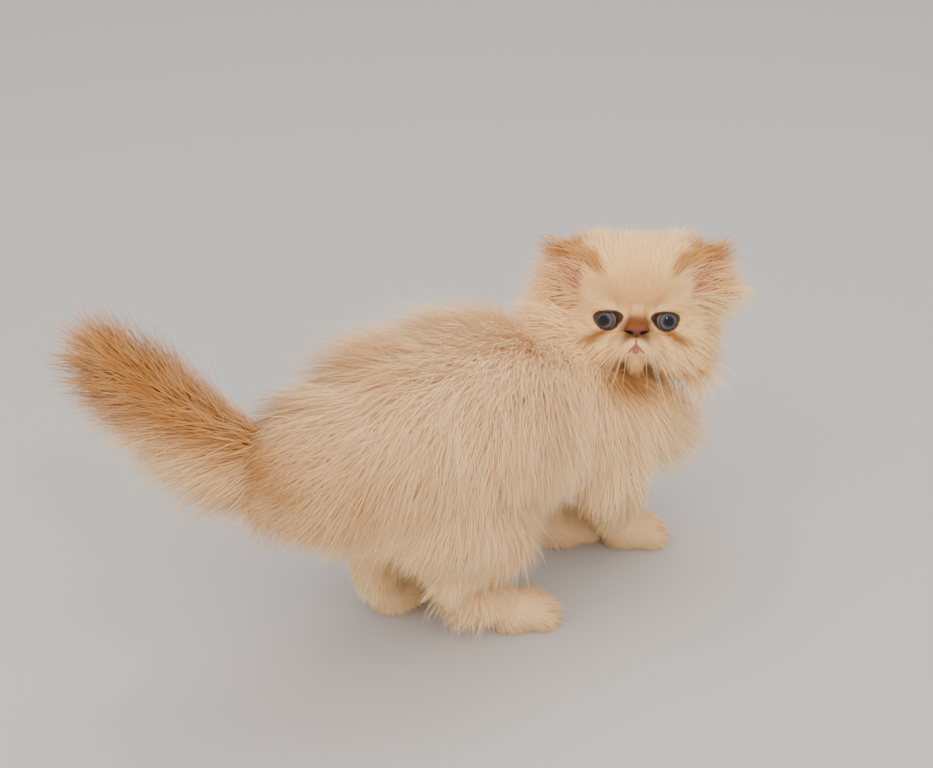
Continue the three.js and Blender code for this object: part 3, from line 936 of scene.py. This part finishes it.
def grow(roots, up, settings, rings, rng, width, clump, body):
    """The middle lines of the tufts: (tufts, rings, 3) places, and their widths."""
    lie, length, lift, _ = coat_at(roots, up, settings)
    count = len(roots)
    length = length * rng.uniform(0.68, 1.12, count)
    lie = unit(lie) + 0.12 * waves(roots, 0.035, 3) + 0.04 * waves(roots, 0.012, 5)
    lie += rng.normal(0, BODY_TOUSLE if body else HEAD_TOUSLE, (count, 3))
    lie = unit(lie - up * np.einsum("nd,nd->n", lie, up)[:, None])
    lift = np.clip(lift + rng.normal(0, 0.10, count) + 0.12 * waves(roots, 0.02, 7)[:, 0], 0.08, 1.3)
    steps = np.linspace(0, 1, rings)
    line = np.empty((count, rings, 3))
    line[:, 0] = roots - up * np.minimum(0.0005, 0.06 * length)[:, None]
    for i in range(1, rings):
        bend = lift * (1.4 - 0.9 * (steps[i] + steps[i - 1]) / 2)
        way = up * np.sin(bend)[:, None] + lie * np.cos(bend)[:, None]
        way[:, 2] -= DROOP * steps[i] * np.clip(length / LONG, 0, 1)
        line[:, i] = line[:, i - 1] + unit(way) * (length * (steps[i] - steps[i - 1]))[:, None]
    groups = max(count // clump["size"], 1)
    heads = rng.choice(count, groups, replace=False)
    tree = KDTree(groups)
    for i, k in enumerate(heads):
        tree.insert(roots[k], i)
    tree.balance()
    owner = heads[np.fromiter((tree.find(r)[1] for r in roots), int, count)]
    pull = clump["pull"] * rng.uniform(0.5, 1.0, groups)
    pull = pull[np.searchsorted(np.sort(heads), owner).clip(0, groups - 1)]
    near = smooth(clump["reach"] * 1.6, clump["reach"] * 0.5, np.linalg.norm(roots - roots[owner], axis=1))
    if body:
        near *= locks(roots)
    mix = (pull * near)[:, None] * steps[None] ** 1.3
    line += (line[owner] - line) * mix[:, :, None]
    line += (rng.normal(0, 1, (count, 1, 3)) * (steps**2)[None, :, None]) * (0.05 * length)[:, None, None]
    if body:
        for _ in range(6):
            inside = in_head(line[:, -1]) < 1.0
            line[inside] = line[inside, :1] + (line[inside] - line[inside, :1]) * 0.72
    line[:, 1:, 2] = np.maximum(line[:, 1:, 2], 0.0004)
    wide = width * rng.uniform(0.75, 1.25, count)
    return line, wide


def tuft_faces(rings):
    """Faces of one tuft, its tip last, and where their corners lie in its patch of the map."""
    tip = (rings - 1) * 3
    faces, spots = [], []

    def spot_of(r, k):
        return (k / 3 - 0.5, r / (rings - 1) - 0.5)

    for r in range(rings - 2):
        for k in range(3):
            j = (k + 1) % 3
            faces.append((r * 3 + k, r * 3 + 3 + k, r * 3 + 3 + j, r * 3 + j))
            spots.append((spot_of(r, k), spot_of(r + 1, k), spot_of(r + 1, k + 1), spot_of(r, k + 1)))
    r = rings - 2
    for k in range(3):
        faces.append((r * 3 + k, tip, r * 3 + (k + 1) % 3))
        spots.append((spot_of(r, k), spot_of(rings - 1, k + 0.5), spot_of(r, k + 1)))
    faces.append((0, 1, 2))
    spots.append((spot_of(0, 0), spot_of(0.5, 1.5), spot_of(0, 3)))
    return faces, np.concatenate([np.array(spot, float) for spot in spots])


def tuft_ways(verts, faces, side_ways, up, out, crisp):
    """Soft normals at the corners: mostly the skin's own way up, never turned against their face."""
    count, rings = out.shape[:2]
    soft = up[:, None, None] * (0.95 - crisp) + side_ways * crisp + out[:, :-1, None] * 0.15
    point_ways = np.concatenate([unit(soft).reshape(count, -1, 3), unit(up + out[:, -1])[:, None]], axis=1)
    ways = point_ways[:, np.concatenate([np.array(face) for face in faces])]
    sides = [0, 1, 2] * (rings - 1) + [2]
    under = np.concatenate([np.repeat(k == 2, len(face)) for face, k in zip(faces, sides)])
    ways[:, under] = -out[:, [0]]
    start = 0
    for face in faces:
        a, b, c = (verts[:, k] for k in face[:3])
        facing = unit(np.cross(b - a, c - a))
        for k in range(start, start + len(face)):
            short = np.maximum(LEAST_FACING - np.einsum("nd,nd->n", ways[:, k], facing), 0)
            ways[:, k] = unit(ways[:, k] + facing * short[:, None])
        start += len(face)
    return ways


def tuft_mesh(name, line, wide, up, where, colours, profile, crisp):
    """One closed mesh of flattened three-sided tufts, with its colours of marks and painted shade and its
    OFBake map.
    """
    count, rings, _ = line.shape
    along = unit(np.gradient(line, axis=1))
    across = unit(np.cross(along, up[:, None]))
    out = np.cross(across, along)
    wide = (wide[:, None] * np.asarray(profile)[None, :-1])[..., None]
    base = line[:, :-1]
    right = base + (across[:, :-1] * 0.5 - out[:, :-1] * 0.06) * wide
    ridge = base + (out[:, :-1] * 0.14) * wide
    left = base - (across[:, :-1] * 0.5 + out[:, :-1] * 0.06) * wide
    ring = np.stack([right, ridge, left], axis=2)
    verts = np.concatenate([ring.reshape(count, -1, 3), line[:, -1:]], axis=1)
    verts[..., 2] = np.maximum(verts[..., 2], 0.0)
    per = verts.shape[1]
    faces, spots = tuft_faces(rings)
    sizes = np.array([len(face) for face in faces])
    corners = np.concatenate([np.array(face) for face in faces])
    index = (corners[None] + (np.arange(count) * per)[:, None]).ravel()
    starts = np.concatenate([[0], np.cumsum(np.tile(sizes, count))[:-1]])
    mesh = bpy.data.meshes.new(name)
    mesh.vertices.add(count * per)
    mesh.vertices.foreach_set("co", verts.astype(np.float32).ravel())
    mesh.loops.add(len(index))
    mesh.loops.foreach_set("vertex_index", index.astype(np.int32))
    mesh.polygons.add(count * len(faces))
    mesh.polygons.foreach_set("loop_start", starts.astype(np.int32))
    mesh.polygons.foreach_set("use_smooth", np.ones(count * len(faces), bool))
    mesh.update(calc_edges=True)
    patch = where[:, None] + spots[None] * PATCH
    mesh.uv_layers.new(name="OFBake").data.foreach_set("uv", patch.astype(np.float32).ravel())
    ways = tuft_ways(verts, faces, unit(ring - base[:, :, None]), up, out, crisp)
    mesh.normals_split_custom_set(ways.reshape(-1, 3).astype(np.float32))
    level = np.concatenate([np.repeat(np.linspace(0, 1, rings)[:-1], 3), [1.0]])
    tone = ROOT_TONE + (TIP_TONE - ROOT_TONE) * level
    paint(mesh, np.clip((colours[:, None] * tone[None, :, None]).reshape(-1, 3), 0, 1))
    ob = bpy.data.objects.new(name, mesh)
    bpy.context.scene.collection.objects.link(ob)
    return ob


def tuft_triangles(rings):
    return (rings - 2) * 6 + 4


def coat_zones(skin, settings):
    """Each zone: density over the skin, count, rings, width, locks and the share of the root's colour."""
    points, normals = points_of(skin.data), normals_of(skin.data)
    _, length, _, head = coat_at(points, normals, settings)
    h = head_place(points)
    clear = np.ones(len(points))
    for side in (-1, 1):
        clear *= smooth(0.5, 1.4, opening(points, side))
        out, wide, rise = ear_place(points, side)
        hollow = smooth(1, 3, out) * smooth(11, 8, np.abs(wide))
        hollow = hollow * smooth(20, 16, rise) * smooth(-14, -10, rise)
        clear *= 1 - 0.86 * hollow * (normals @ ear_axes(side)[0] > 0.2)
    nose = np.linalg.norm((h - (6, 0, -3.8)) / (9, 5.6, 3.6), axis=1)
    clear *= smooth(0.85, 1.1, nose)
    clear *= smooth(0.0005, 0.0015, points[:, 2])
    tail = smooth(-78, -86, (points - SHIFT)[:, 0] / MM)
    leg = smooth(0.016, 0.012, length) * (1 - head)
    short = smooth(0.0105, 0.0085, length)
    body = clear * (1 - head) * (1 - tail) * (1 - leg)
    width = settings.tuft_width
    return {
        "face": (clear * head * short, settings.face_tufts, 2, 0.925 * width, FINE, 0.75),
        "head": (clear * head * (1 - short), settings.head_tufts, 3, 1.05 * width, LOOSE, 0.6),
        "tail": (clear * tail, settings.tail_tufts, 3, 1.25 * width, LOOSE, 0.5),
        "leg": (clear * leg, settings.leg_tufts, 2, 1.1 * width, FINE, 0.6),
        "body": (body, settings.body_tufts, 3, width, FLOWING, 0.45),
        "wisps": (body * (locks(points) - LEAST_LOCKS), settings.wisp_tufts, 4, width, POINTED, 0.4),
        "under": (body, settings.under_tufts, 2, width, FINE, 0.5),
    }


class KITTEN_OT_coat(bpy.types.Operator):
    """Cover the skin with tufts that follow the lie of the coat"""

    bl_idname = "kitten.coat"
    bl_label = "Coat"

    def execute(self, context):
        settings = context.scene.kitten
        skin = bpy.data.objects["skin"]
        material = coat_material()
        rng = np.random.default_rng(11)
        for zone, (density, count, rings, width, clump, rooted) in coat_zones(skin, settings).items():
            roots, up, where = scatter(skin, density, count, rng)
            on_body = zone not in ("face", "head")
            line, wide = grow(roots, up, settings, rings, rng, width, clump, on_body)
            if zone == "wisps":
                line = line[:, :1] + (line - line[:, :1]) * WISP_STRETCH
            colours = marks_and_shade(roots * rooted + line[:, -1] * (1 - rooted), settings)
            short_hair = zone in ("face", "leg")
            colours *= rng.uniform(0.90 if short_hair else 0.96, 1.03, (count, 1))
            colours *= 1 + rng.normal(0, 0.01, (count, 3))
            parts = max(1, math.ceil(count / (PIECE_TRIANGLES // tuft_triangles(rings))))
            order = np.argsort(roots[:, 0], kind="stable")
            for i, chosen in enumerate(np.array_split(order, parts)):
                name = f"coat_{zone}" + (f"_{i + 1}" if parts > 1 else "")
                parts_of_it = (array[chosen] for array in (line, wide, up, where, colours))
                piece = tuft_mesh(name, *parts_of_it, PROFILES[rings], 0.3 if short_hair else 0.08)
                finish_piece(piece, material)
        return {"FINISHED"}


# The eyes

EYE_WHITE, EYE_CORNER = np.array((0.16, 0.125, 0.125)), np.array((0.04, 0.018, 0.014))
PUPIL = 18.5  # degrees from the middle of the eye's gaze to the edge of its pupil


def eye_material():
    material, nodes, links, shader = material_of("eye")
    marks = nodes.new("ShaderNodeAttribute")
    marks.attribute_name = "ColourAndShade"
    fine = pattern(nodes, links, "ShaderNodeTexNoise", 700)
    mix = nodes.new("ShaderNodeMixRGB")
    mix.blend_type = "MULTIPLY"
    mix.inputs["Fac"].default_value = 0.25
    links.new(marks.outputs["Color"], mix.inputs["Color1"])
    links.new(fine.outputs["Color"], mix.inputs["Color2"])
    links.new(mix.outputs["Color"], shader.inputs["Base Color"])
    shader.inputs["Roughness"].default_value = 0.12
    shader.inputs["Coat Weight"].default_value = 0.6
    shader.inputs["Specular IOR Level"].default_value = 0.3
    shader.inputs["Coat Roughness"].default_value = 0.02
    shader.inputs["IOR"].default_value = 1.4
    return material


class KITTEN_OT_eyes(bpy.types.Operator):
    """Make the eyeballs with their irises and pupils, and the dark rims of the lids"""

    bl_idname = "kitten.eyes"
    bl_label = "Eyes"

    def execute(self, context):
        material = eye_material()
        rim_finish = dark_skin_material("lid_rim", (0.035, 0.016, 0.012), 0.35, 600)
        iris = np.array(context.scene.kitten.iris)
        for side, name in ((1, "left"), (-1, "right")):
            out, up = (math.radians(angle) for angle in GAZE[side])
            gaze = unit(np.array((1, side * math.tan(out), math.tan(up))) @ EYE_AXES)
            across = unit(np.cross(EYE_AXES[2], gaze))
            axes = np.stack([across, np.cross(gaze, across), gaze])
            ball = lump(EYES[side], (EYE_RADIUS - 0.25,) * 3, axes, 96)
            points = points_of(ball.data)
            local = (points - EYES[side]) @ axes.T / MM
            reach = np.degrees(np.arctan2(np.hypot(local[:, 0], local[:, 1]), local[:, 2]))
            cornea = 1 + 0.055 * smooth(46, 20, reach)
            set_points(ball.data, EYES[side] + (points - EYES[side]) * cornea[:, None])
            spoke = np.arctan2(local[:, 1], local[:, 0])
            rays = 0.5 + 0.25 * np.sin(spoke * 23) * np.sin(spoke * 7 + 1) + 0.25 * np.sin(spoke * 41 + 2)
            glow = 0.8 + 0.35 * rays + 0.35 * smooth(21, 25, reach) * smooth(30, 27, reach)
            glow *= 1 - 0.75 * smooth(29.5, 33, reach)
            colours = iris[None] * glow[:, None]
            inwards = smooth(-1, 1, -local[:, 0] * side * 0.6) * smooth(45, 39, reach)
            beyond = mixed(EYE_CORNER, EYE_WHITE, inwards)
            colours = mixed(colours, beyond, smooth(33, 36, reach))
            colours *= 1 - 0.985 * smooth(PUPIL + 1, PUPIL - 1, reach)[:, None]
            paint(ball.data, np.clip(colours, 0.002, 1))
            ball.name = ball.data.name = f"eyeball_{name}"
            choose(ball)
            bpy.ops.object.shade_smooth()
            finish_piece(ball, material, [f"eye_{name}"])
            rim = lid_rim(side)
            rim.name = rim.data.name = f"lid_rim_{name}"
            finish_piece(rim, rim_finish)
        return {"FINISHED"}


UP_HINT = np.array((0.3, 0.2, 0.93))  # a way that no thin tube follows


def tube(name, line, wide, sides=8, closed=False, across=None):
    """A smooth tube along the line with the half-widths given, closed round or at both ends."""
    line, wide = np.asarray(line, float), np.asarray(wide, float)
    count = len(line)
    along = np.roll(line, -1, 0) - np.roll(line, 1, 0) if closed else np.gradient(line, axis=0)
    along = unit(along)
    first = unit(np.cross(along, UP_HINT if across is None else across))
    second = np.cross(first, along)
    turn = np.arange(sides) / sides * 2 * math.pi
    cos, sin = np.cos(turn)[None, :, None], np.sin(turn)[None, :, None]
    ring = first[:, None] * cos + second[:, None] * sin
    verts = (line[:, None] + ring * wide[:, None, None]).reshape(-1, 3)
    faces = []
    for i in range(count if closed else count - 1):
        n = (i + 1) % count
        for k in range(sides):
            j = (k + 1) % sides
            faces.append((i * sides + k, i * sides + j, n * sides + j, n * sides + k))
    if not closed:
        faces.append(tuple(range(sides))[::-1])
        faces.append(tuple((count - 1) * sides + k for k in range(sides)))
    mesh = bpy.data.meshes.new(name)
    mesh.from_pydata(verts.tolist(), [], faces)
    mesh.update()
    ob = bpy.data.objects.new(name, mesh)
    bpy.context.scene.collection.objects.link(ob)
    choose(ob)
    bpy.ops.object.mode_set(mode="EDIT")
    bpy.ops.mesh.select_all(action="SELECT")
    bpy.ops.mesh.normals_make_consistent(inside=False)
    bpy.ops.object.mode_set(mode="OBJECT")
    bpy.ops.object.shade_smooth()
    return ob


def lid_rim(side):
    """The dark rim of the lids, thickest at the inner corner."""
    out, up = LID_EDGE[:, 0], LID_EDGE[:, 1]
    radius = EYE_RADIUS + 0.62
    depth = np.sqrt(np.maximum(radius**2 - out**2 - up**2, 1.0))
    line = EYES[side] + np.stack([depth, out * side, up], axis=1) @ EYE_AXES * MM
    wide = (0.26 + 0.3 * smooth(-5.5, -8.0, out) + 0.1 * smooth(0, 3, up)) * MM
    return tube("rim", line, wide, 10, True, across=unit(line - EYES[side]))


def dark_skin_material(name, colour, rough, scale):
    material, nodes, links, shader = material_of(name)
    noise = pattern(nodes, links, "ShaderNodeTexNoise", scale)
    ramp = nodes.new("ShaderNodeValToRGB")
    ramp.color_ramp.elements[0].position = 0.3
    ramp.color_ramp.elements[1].position = 0.7
    ramp.color_ramp.elements[0].color = (*(np.array(colour) * 0.65), 1)
    ramp.color_ramp.elements[1].color = (*np.clip(np.array(colour) * 1.3, 0, 1), 1)
    links.new(noise.outputs["Fac"], ramp.inputs["Fac"])
    links.new(ramp.outputs["Color"], shader.inputs["Base Color"])
    shader.inputs["Roughness"].default_value = rough
    noise_bump(nodes, links, shader, scale * 1.5, 0.3, 0.0002)
    return material


def surface_finder(ob):
    """Gives the place on the head's surface straight before a point of the face."""
    tree = BVHTree.FromObject(ob, bpy.context.evaluated_depsgraph_get())

    def find(l, u, proud=0.0):
        start = on_head(40, l, u)
        hit = tree.ray_cast(Vector(start), Vector(-FORWARD))[0]
        return np.array(hit) + FORWARD * proud * MM

    return find


class KITTEN_OT_nose(bpy.types.Operator):
    """Make the nose leather with its nostrils"""

    bl_idname = "kitten.nose"
    bl_label = "Nose"

    def execute(self, context):
        size = np.array((4.6, 6.2, 3.8))
        centre = np.array((5.0, 0.0, -3.4))
        nose = lump(on_head(*centre), size, HEAD_AXES, 110)
        local = head_place(points_of(nose.data)) - centre
        x, y, z = local.T
        lower = smooth(-0.4, -3.4, z)
        side = np.abs(y)
        y = y * (1 - 0.62 * lower * smooth(0, 5, side) ** 0.5)
        y = y * (1 + 0.06 * bump_of(z, -0.6, 1.2))
        side = np.abs(y)
        front = smooth(0, 2, x)
        hole = np.sqrt(((side - 3.65) / 2.2) ** 2 + ((z + 0.9 - 0.05 * (side - 3)) / 1.0) ** 2)
        x = x - 2.6 * smooth(1.05, 0.55, hole) * front
        x = x + 0.35 * bump_of(hole, 1.45, 0.4) * front
        x = x - 0.55 * bump_of(side, 0, 0.34) * smooth(-0.6, -1.6, z) * front
        x = x - 0.5 * smooth(1.0, 3.4, z) * front
        set_points(nose.data, FACE + ((np.stack([x, y, z], axis=1) + centre) * MM) @ HEAD_AXES)
        nose.name = nose.data.name = "nose_leather"
        # the near-black colour is painted shade for the nostrils and the furrow down the leather
        leather, dark = np.array((0.12, 0.027, 0.012)), np.array((0.012, 0.006, 0.005))
        colours = mixed(leather, np.array(context.scene.kitten.mask), smooth(0.2, 2.2, z))
        # painted shade inside the nostrils
        colours = mixed(colours, dark, smooth(1.15, 0.8, hole) * front)
        # painted shade in the furrow down the middle of the leather
        groove_shade = bump_of(side, 0, 0.3) * smooth(-0.8, -1.8, z) * front
        colours = mixed(colours, dark * 3, 0.7 * groove_shade)
        paint(nose.data, np.clip(colours, 0, 1))
        choose(nose)
        bpy.ops.object.shade_smooth()
        material, nodes, links, shader = material_of("nose_leather")
        marks_and_shade_colour(nodes, links, shader, 0.12, 1500)
        shader.inputs["Roughness"].default_value = 0.55
        pebbles = pattern(nodes, links, "ShaderNodeTexVoronoi", 2600)
        raise_bumps(nodes, links, shader, pebbles.outputs["Distance"], 0.35, 0.0001)
        finish_piece(nose, material, ["nose"])
        return {"FINISHED"}


class KITTEN_OT_mouth(bpy.types.Operator):
    """Make the mouth with its cleft, and the lower lip"""

    bl_idname = "kitten.mouth"
    bl_label = "Mouth"

    def execute(self, context):
        find = surface_finder(bpy.data.objects["skin"])
        lips = dark_skin_material("lips", (0.36, 0.14, 0.09), 0.5, 500)
        cleft = [find(0, u, 0.15) for u in np.linspace(-6.2, -11.4, 9)]
        parts = [tube("cleft", cleft, np.linspace(0.45, 0.5, 9) * MM, 8)]
        for way in (-1, 1):
            t = np.linspace(0, 1, 11)
            line = [find(way * 4.0 * k**1.05, -11.0 - 3.6 * k**1.2, 0.3) for k in t]
            parts.append(tube("lip", line, (0.7 * (1 - t) ** 0.5 + 0.2) * MM, 8))
        mouth = join(parts, "mouth")
        finish_piece(mouth, lips)
        lip = lump(find(0, -13.3, -0.7), (1.3, 3.3, 2.2), HEAD_AXES, 28)
        local = head_place(points_of(lip.data))
        local[:, 1] *= 1 - 0.45 * smooth(-13.9, -12.1, local[:, 2])
        set_points(lip.data, FACE + (local * MM) @ HEAD_AXES)
        lip.name = lip.data.name = "lower_lip"
        choose(lip)
        bpy.ops.object.shade_smooth()
        finish_piece(lip, dark_skin_material("lower_lip", (0.36, 0.135, 0.09), 0.5, 400))
        return {"FINISHED"}


# Start to the side and up, way outwards, forwards and up, and length in millimetres
WHISKERS = (
    (6.0, -9.8, 0.7, 0.4, -0.65, 38),
    (8.0, -9.8, 0.95, 0.3, -0.45, 42),
    (9.5, -10.5, 1.0, 0.2, -0.6, 44),
    (5.5, -11.8, 0.45, 0.4, -0.9, 32),
    (7.5, -12.0, 0.6, 0.3, -0.9, 40),
    (9.2, -12.6, 0.8, 0.2, -0.85, 44),
    (6.0, -14.4, 0.25, 0.4, -1.0, 30),
    (8.0, -14.6, 0.4, 0.3, -1.0, 36),
    (10.0, -14.8, 0.6, 0.2, -1.0, 40),
    (12.0, -13.8, 0.8, 0.1, -0.9, 40),
    (4.6, -14.2, 0.1, 0.4, -1.0, 24),
    (8.8, -8.8, 1.0, 0.3, -0.25, 34),
    (12.5, 8.5, 0.5, 0.5, 0.9, 17),
    (14.5, 8.0, 0.7, 0.5, 0.8, 20),
    (16.5, 7.5, 0.9, 0.4, 0.6, 17),
)
WHISKER_SCALE = {-1: 0.75, 1: 0.9}


class KITTEN_OT_whiskers(bpy.types.Operator):
    """Make the whiskers beside the mouth and the few long hairs over the eyes"""

    bl_idname = "kitten.whiskers"
    bl_label = "Whiskers"

    def execute(self, context):
        find = surface_finder(bpy.data.objects["skin"])
        rng = np.random.default_rng(4)
        parts = []
        t = np.linspace(0, 1, 14)
        for side in (-1, 1):
            for l, u, outwards, forwards, upwards, size in WHISKERS:
                way = np.array((forwards, side * outwards, upwards)) + rng.normal(0, 0.07, 3)
                way = unit(way) @ HEAD_AXES
                size = size * rng.uniform(0.85, 1.05) * MM * WHISKER_SCALE[side]
                line = find(side * l, u, -0.8) + way * (size * t)[:, None]
                line[:, 2] -= size * 0.22 * t**2
                line += FORWARD * (np.sin(t * math.pi) * size * 0.06)[:, None]
                parts.append(tube("hair", line, (0.08 * (1 - t) ** 0.7 + 0.02) * MM, 5))
        whiskers = join(parts, "whiskers")
        material = dark_skin_material("whisker", (0.92, 0.76, 0.52), 0.4, 300)
        finish_piece(whiskers, material)
        return {"FINISHED"}


PICTURE = (933, 768)
LENS, SENSOR = 80, 36  # millimetres
CAMERA_TURN, CAMERA_TILT = math.radians(-42), math.radians(28)
CAMERA_FAR = 1.037
ANCHOR, ANCHOR_PIXEL = (0, -35, 0), (508, 636)  # a place on the floor, and where the picture shows it
FLOOR_COLOUR = (0.50, 0.475, 0.45, 1)
SKY_COLOUR, SKY_STRENGTH = (0.86, 0.88, 0.92, 1), 0.86
# Each lamp: name, place right, nearer and up of the kitten, size, power, colour, seen in gloss
LAMPS = (
    ("key", (0.4, 1.3, 1.25), 2.4, 39, (1.0, 0.90, 0.78), False),
    ("fill", (-1.2, 0.9, 0.7), 1.4, 12, (0.95, 0.97, 1.0), False),
    ("top", (0.1, -0.5, 1.6), 1.2, 14, (1.0, 0.97, 0.93), False),
    ("glint", (0.25, 1.3, 1.15), 0.16, 3, (1.0, 0.95, 0.9), True),
)


class KITTEN_OT_stage(bpy.types.Operator):
    """Set the floor, the lights and the camera"""

    bl_idname = "kitten.stage"
    bl_label = "Stage"

    def execute(self, context):
        scene = context.scene
        clear_choice()
        bpy.ops.mesh.primitive_plane_add(size=12, location=(0, 0, 0))
        floor = context.object
        floor.name = "floor"
        material, _, _, shader = material_of("pale_floor")
        shader.inputs["Base Color"].default_value = FLOOR_COLOUR
        shader.inputs["Roughness"].default_value = 0.85
        floor.data.materials.append(material)
        world = bpy.data.worlds.new("studio")
        world.use_nodes = True
        sky = world.node_tree.nodes["Background"]
        sky.inputs["Color"].default_value = SKY_COLOUR
        sky.inputs["Strength"].default_value = SKY_STRENGTH
        scene.world = world
        turn, tilt = CAMERA_TURN, CAMERA_TILT
        right = np.array((math.cos(turn), math.sin(turn), 0))
        ahead = np.array((-math.sin(turn), math.cos(turn), 0))
        away = ahead * math.cos(tilt) - np.array((0, 0, math.sin(tilt)))
        focal = PICTURE[0] * LENS / SENSOR
        at = place(*ANCHOR) - away * CAMERA_FAR
        at -= right * (ANCHOR_PIXEL[0] - PICTURE[0] / 2) / focal * CAMERA_FAR
        at += np.cross(right, away) * (ANCHOR_PIXEL[1] - PICTURE[1] / 2) / focal * CAMERA_FAR
        bpy.ops.object.camera_add(location=at, rotation=(math.pi / 2 - tilt, 0, turn))
        camera = context.object
        camera.name = "camera"
        camera.data.lens = LENS
        camera.data.sensor_width = SENSOR
        camera.data.clip_start = 0.02
        scene.camera = camera
        target = place(20, 0, 100)
        for name, (aside, nearer, rise), size, power, colour, seen in LAMPS:
            where = target + aside * right - nearer * ahead + (0, 0, rise)
            bpy.ops.object.light_add(type="AREA", location=where)
            lamp = context.object
            lamp.name = name
            lamp.data.size = size
            lamp.data.energy = power
            lamp.data.color = colour
            lamp.rotation_euler = Vector(target - where).to_track_quat("-Z", "Y").to_euler()
            lamp.visible_glossy = seen
        return {"FINISHED"}


class KITTEN_PT_panel(bpy.types.Panel):
    bl_label = "Kitten"
    bl_idname = "KITTEN_PT_panel"
    bl_space_type = "VIEW_3D"
    bl_region_type = "UI"
    bl_category = "Kitten"

    def draw(self, context):
        for name in KittenSettings.__annotations__:
            self.layout.prop(context.scene.kitten, name)
        for step in STEPS:
            self.layout.operator(f"kitten.{step}")


STEPS = ("skin", "eyes", "nose", "mouth", "coat", "whiskers", "stage")
CLASSES = (
    KittenSettings,
    KITTEN_OT_skin,
    KITTEN_OT_eyes,
    KITTEN_OT_nose,
    KITTEN_OT_mouth,
    KITTEN_OT_coat,
    KITTEN_OT_whiskers,
    KITTEN_OT_stage,
    KITTEN_PT_panel,
)


def register():
    for cls in CLASSES:
        bpy.utils.register_class(cls)
    bpy.types.Scene.kitten = bpy.props.PointerProperty(type=KittenSettings)


def unregister():
    del bpy.types.Scene.kitten
    for cls in reversed(CLASSES):
        bpy.utils.unregister_class(cls)


def main():
    register()
    for step in STEPS:
        getattr(bpy.ops.kitten, step)()


if __name__ == "__main__":
    main()
